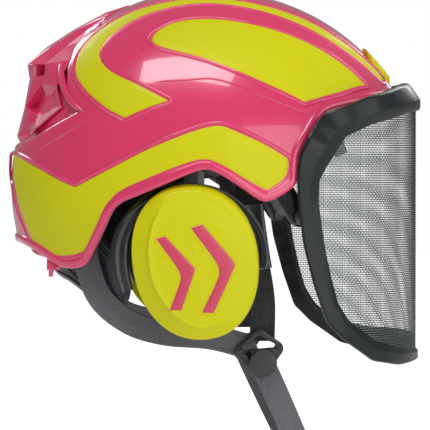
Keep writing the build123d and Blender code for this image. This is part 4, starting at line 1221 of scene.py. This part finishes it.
def soften_cad():
    for names, width, segments in (
            ("visor_arm_right visor_arm_left cup_housing_right cup_housing_left", 1.0, 3),
            ("strap_slider_right strap_slider_left slider_button_right slider_button_left mesh_clips "
             "adjuster_housing adjuster_knob buckle_body buckle_clip strap_hooks visor_brackets "
             "muff_brackets front_cap", 0.6, 3),
            ("buckle_button muff_hinge_pins visor_pivot_pins headband headband_clips headband_rear "
             "strap_anchors inner_shell", 0.35, 2)):
        for name in names.split():
            soften(name, width, segments)


# ------------------------------------------------------------------ studio
def area_light(name, place, aim, size, power, along=None):
    """A soft box at place, facing aim. size is (width, height); along turns its width."""
    light = bpy.data.lights.new(name, "AREA")
    light.shape = "RECTANGLE"
    light.size, light.size_y = size
    light.energy = power
    obj = added(name, light)
    direction = (Vector(aim) - Vector(place)).normalized()
    turned = direction.to_track_quat("-Z", "Y").to_matrix()
    if along:
        x = Vector(along) - direction * Vector(along).dot(direction)
        x.normalize()
        turned = Matrix((x, (-direction).cross(x), -direction)).transposed()
    obj.matrix_world = Matrix.Translation(place) @ turned.to_4x4()


def make_lights():
    """A pale sky that looks white to the camera, and five soft boxes."""
    world = bpy.data.worlds.new("studio")
    bpy.context.scene.world = world
    world.use_nodes = True
    tree = world.node_tree
    path = tree.nodes.new("ShaderNodeLightPath")
    sky = mixed(tree, path.outputs["Is Camera Ray"], (0.24, 0.24, 0.25), (1.0, 1.0, 1.0))
    tree.links.new(sky, tree.nodes["Background"].inputs["Color"])
    area_light("key", (-0.22, -0.84, 1.42), (0.02, -0.05, 0.1), (1.15, 0.42), 10.5)
    area_light("fill", (0.75, -1.5, 0.3), (0.0, 0, 0.05), (1.1, 1.1), 6.5)
    area_light("front_rim", (1.3, -0.5, 0.5), (0.1, 0, 0.05), (0.7, 1.0), 3)
    area_light("back_rim", (-0.7, 1.0, 0.95), (-0.05, 0, 0.12), (0.5, 0.5), 4.5)
    area_light("crown_strip", (0.82, 1.03, 0.81), (0.13, -0.04, 0.14), (0.95, 0.11), 2.2,
               (-0.15, 0.59, -0.74))


def make_floor():
    """A plain pale floor just under the chin loop."""
    floor_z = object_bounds()[0][2] - 0.004
    bpy.ops.mesh.primitive_circle_add(vertices=96, radius=4, fill_type="NGON", location=(0, 0, floor_z))
    floor = bpy.context.object
    floor.name = "floor"
    m, tree, shader = material("floor_pale")
    pale = mixed(tree, noise(tree, 3), (0.9, 0.9, 0.9), (0.94, 0.94, 0.94))
    tree.links.new(pale, shader.inputs["Base Color"])
    shader.inputs["Roughness"].default_value = 0.6
    shader.inputs["Emission Color"].default_value = (1, 1, 1, 1)
    seen = tree.nodes.new("ShaderNodeLightPath")
    tree.links.new(mapped(tree, seen.outputs["Is Camera Ray"], 0, 1, 0.15, 0.8),
                   shader.inputs["Emission Strength"])
    floor.data.materials.append(m)


def make_camera():
    """Level with the helmet, a little behind square-on to its right side."""
    yaw, pitch, reach = math.radians(-4.5), math.radians(1.5), 2.0
    aim = Vector((0.0233, 0, 0.027))
    look = Vector((-math.sin(yaw) * math.cos(pitch), math.cos(yaw) * math.cos(pitch), -math.sin(pitch)))
    data = bpy.data.cameras.new("camera")
    data.sensor_width, data.lens = 36, 214.66
    cam = added("camera", data)
    cam.location = aim - look * reach
    cam.rotation_euler = look.to_track_quat("-Z", "Y").to_euler()
    bpy.context.scene.camera = cam


bpy.context.scene.view_settings.view_transform = "Standard"
make_shell()
make_panels()
make_hood()
make_visor_frame()
make_visor_mesh()
make_mesh_clips()
make_cup_cover()
make_chevrons()
make_yoke()
make_straps()
make_chin_loop()
make_nape_cradle()
make_padding()
soften_cad()
make_lights()
make_floor()
make_camera()
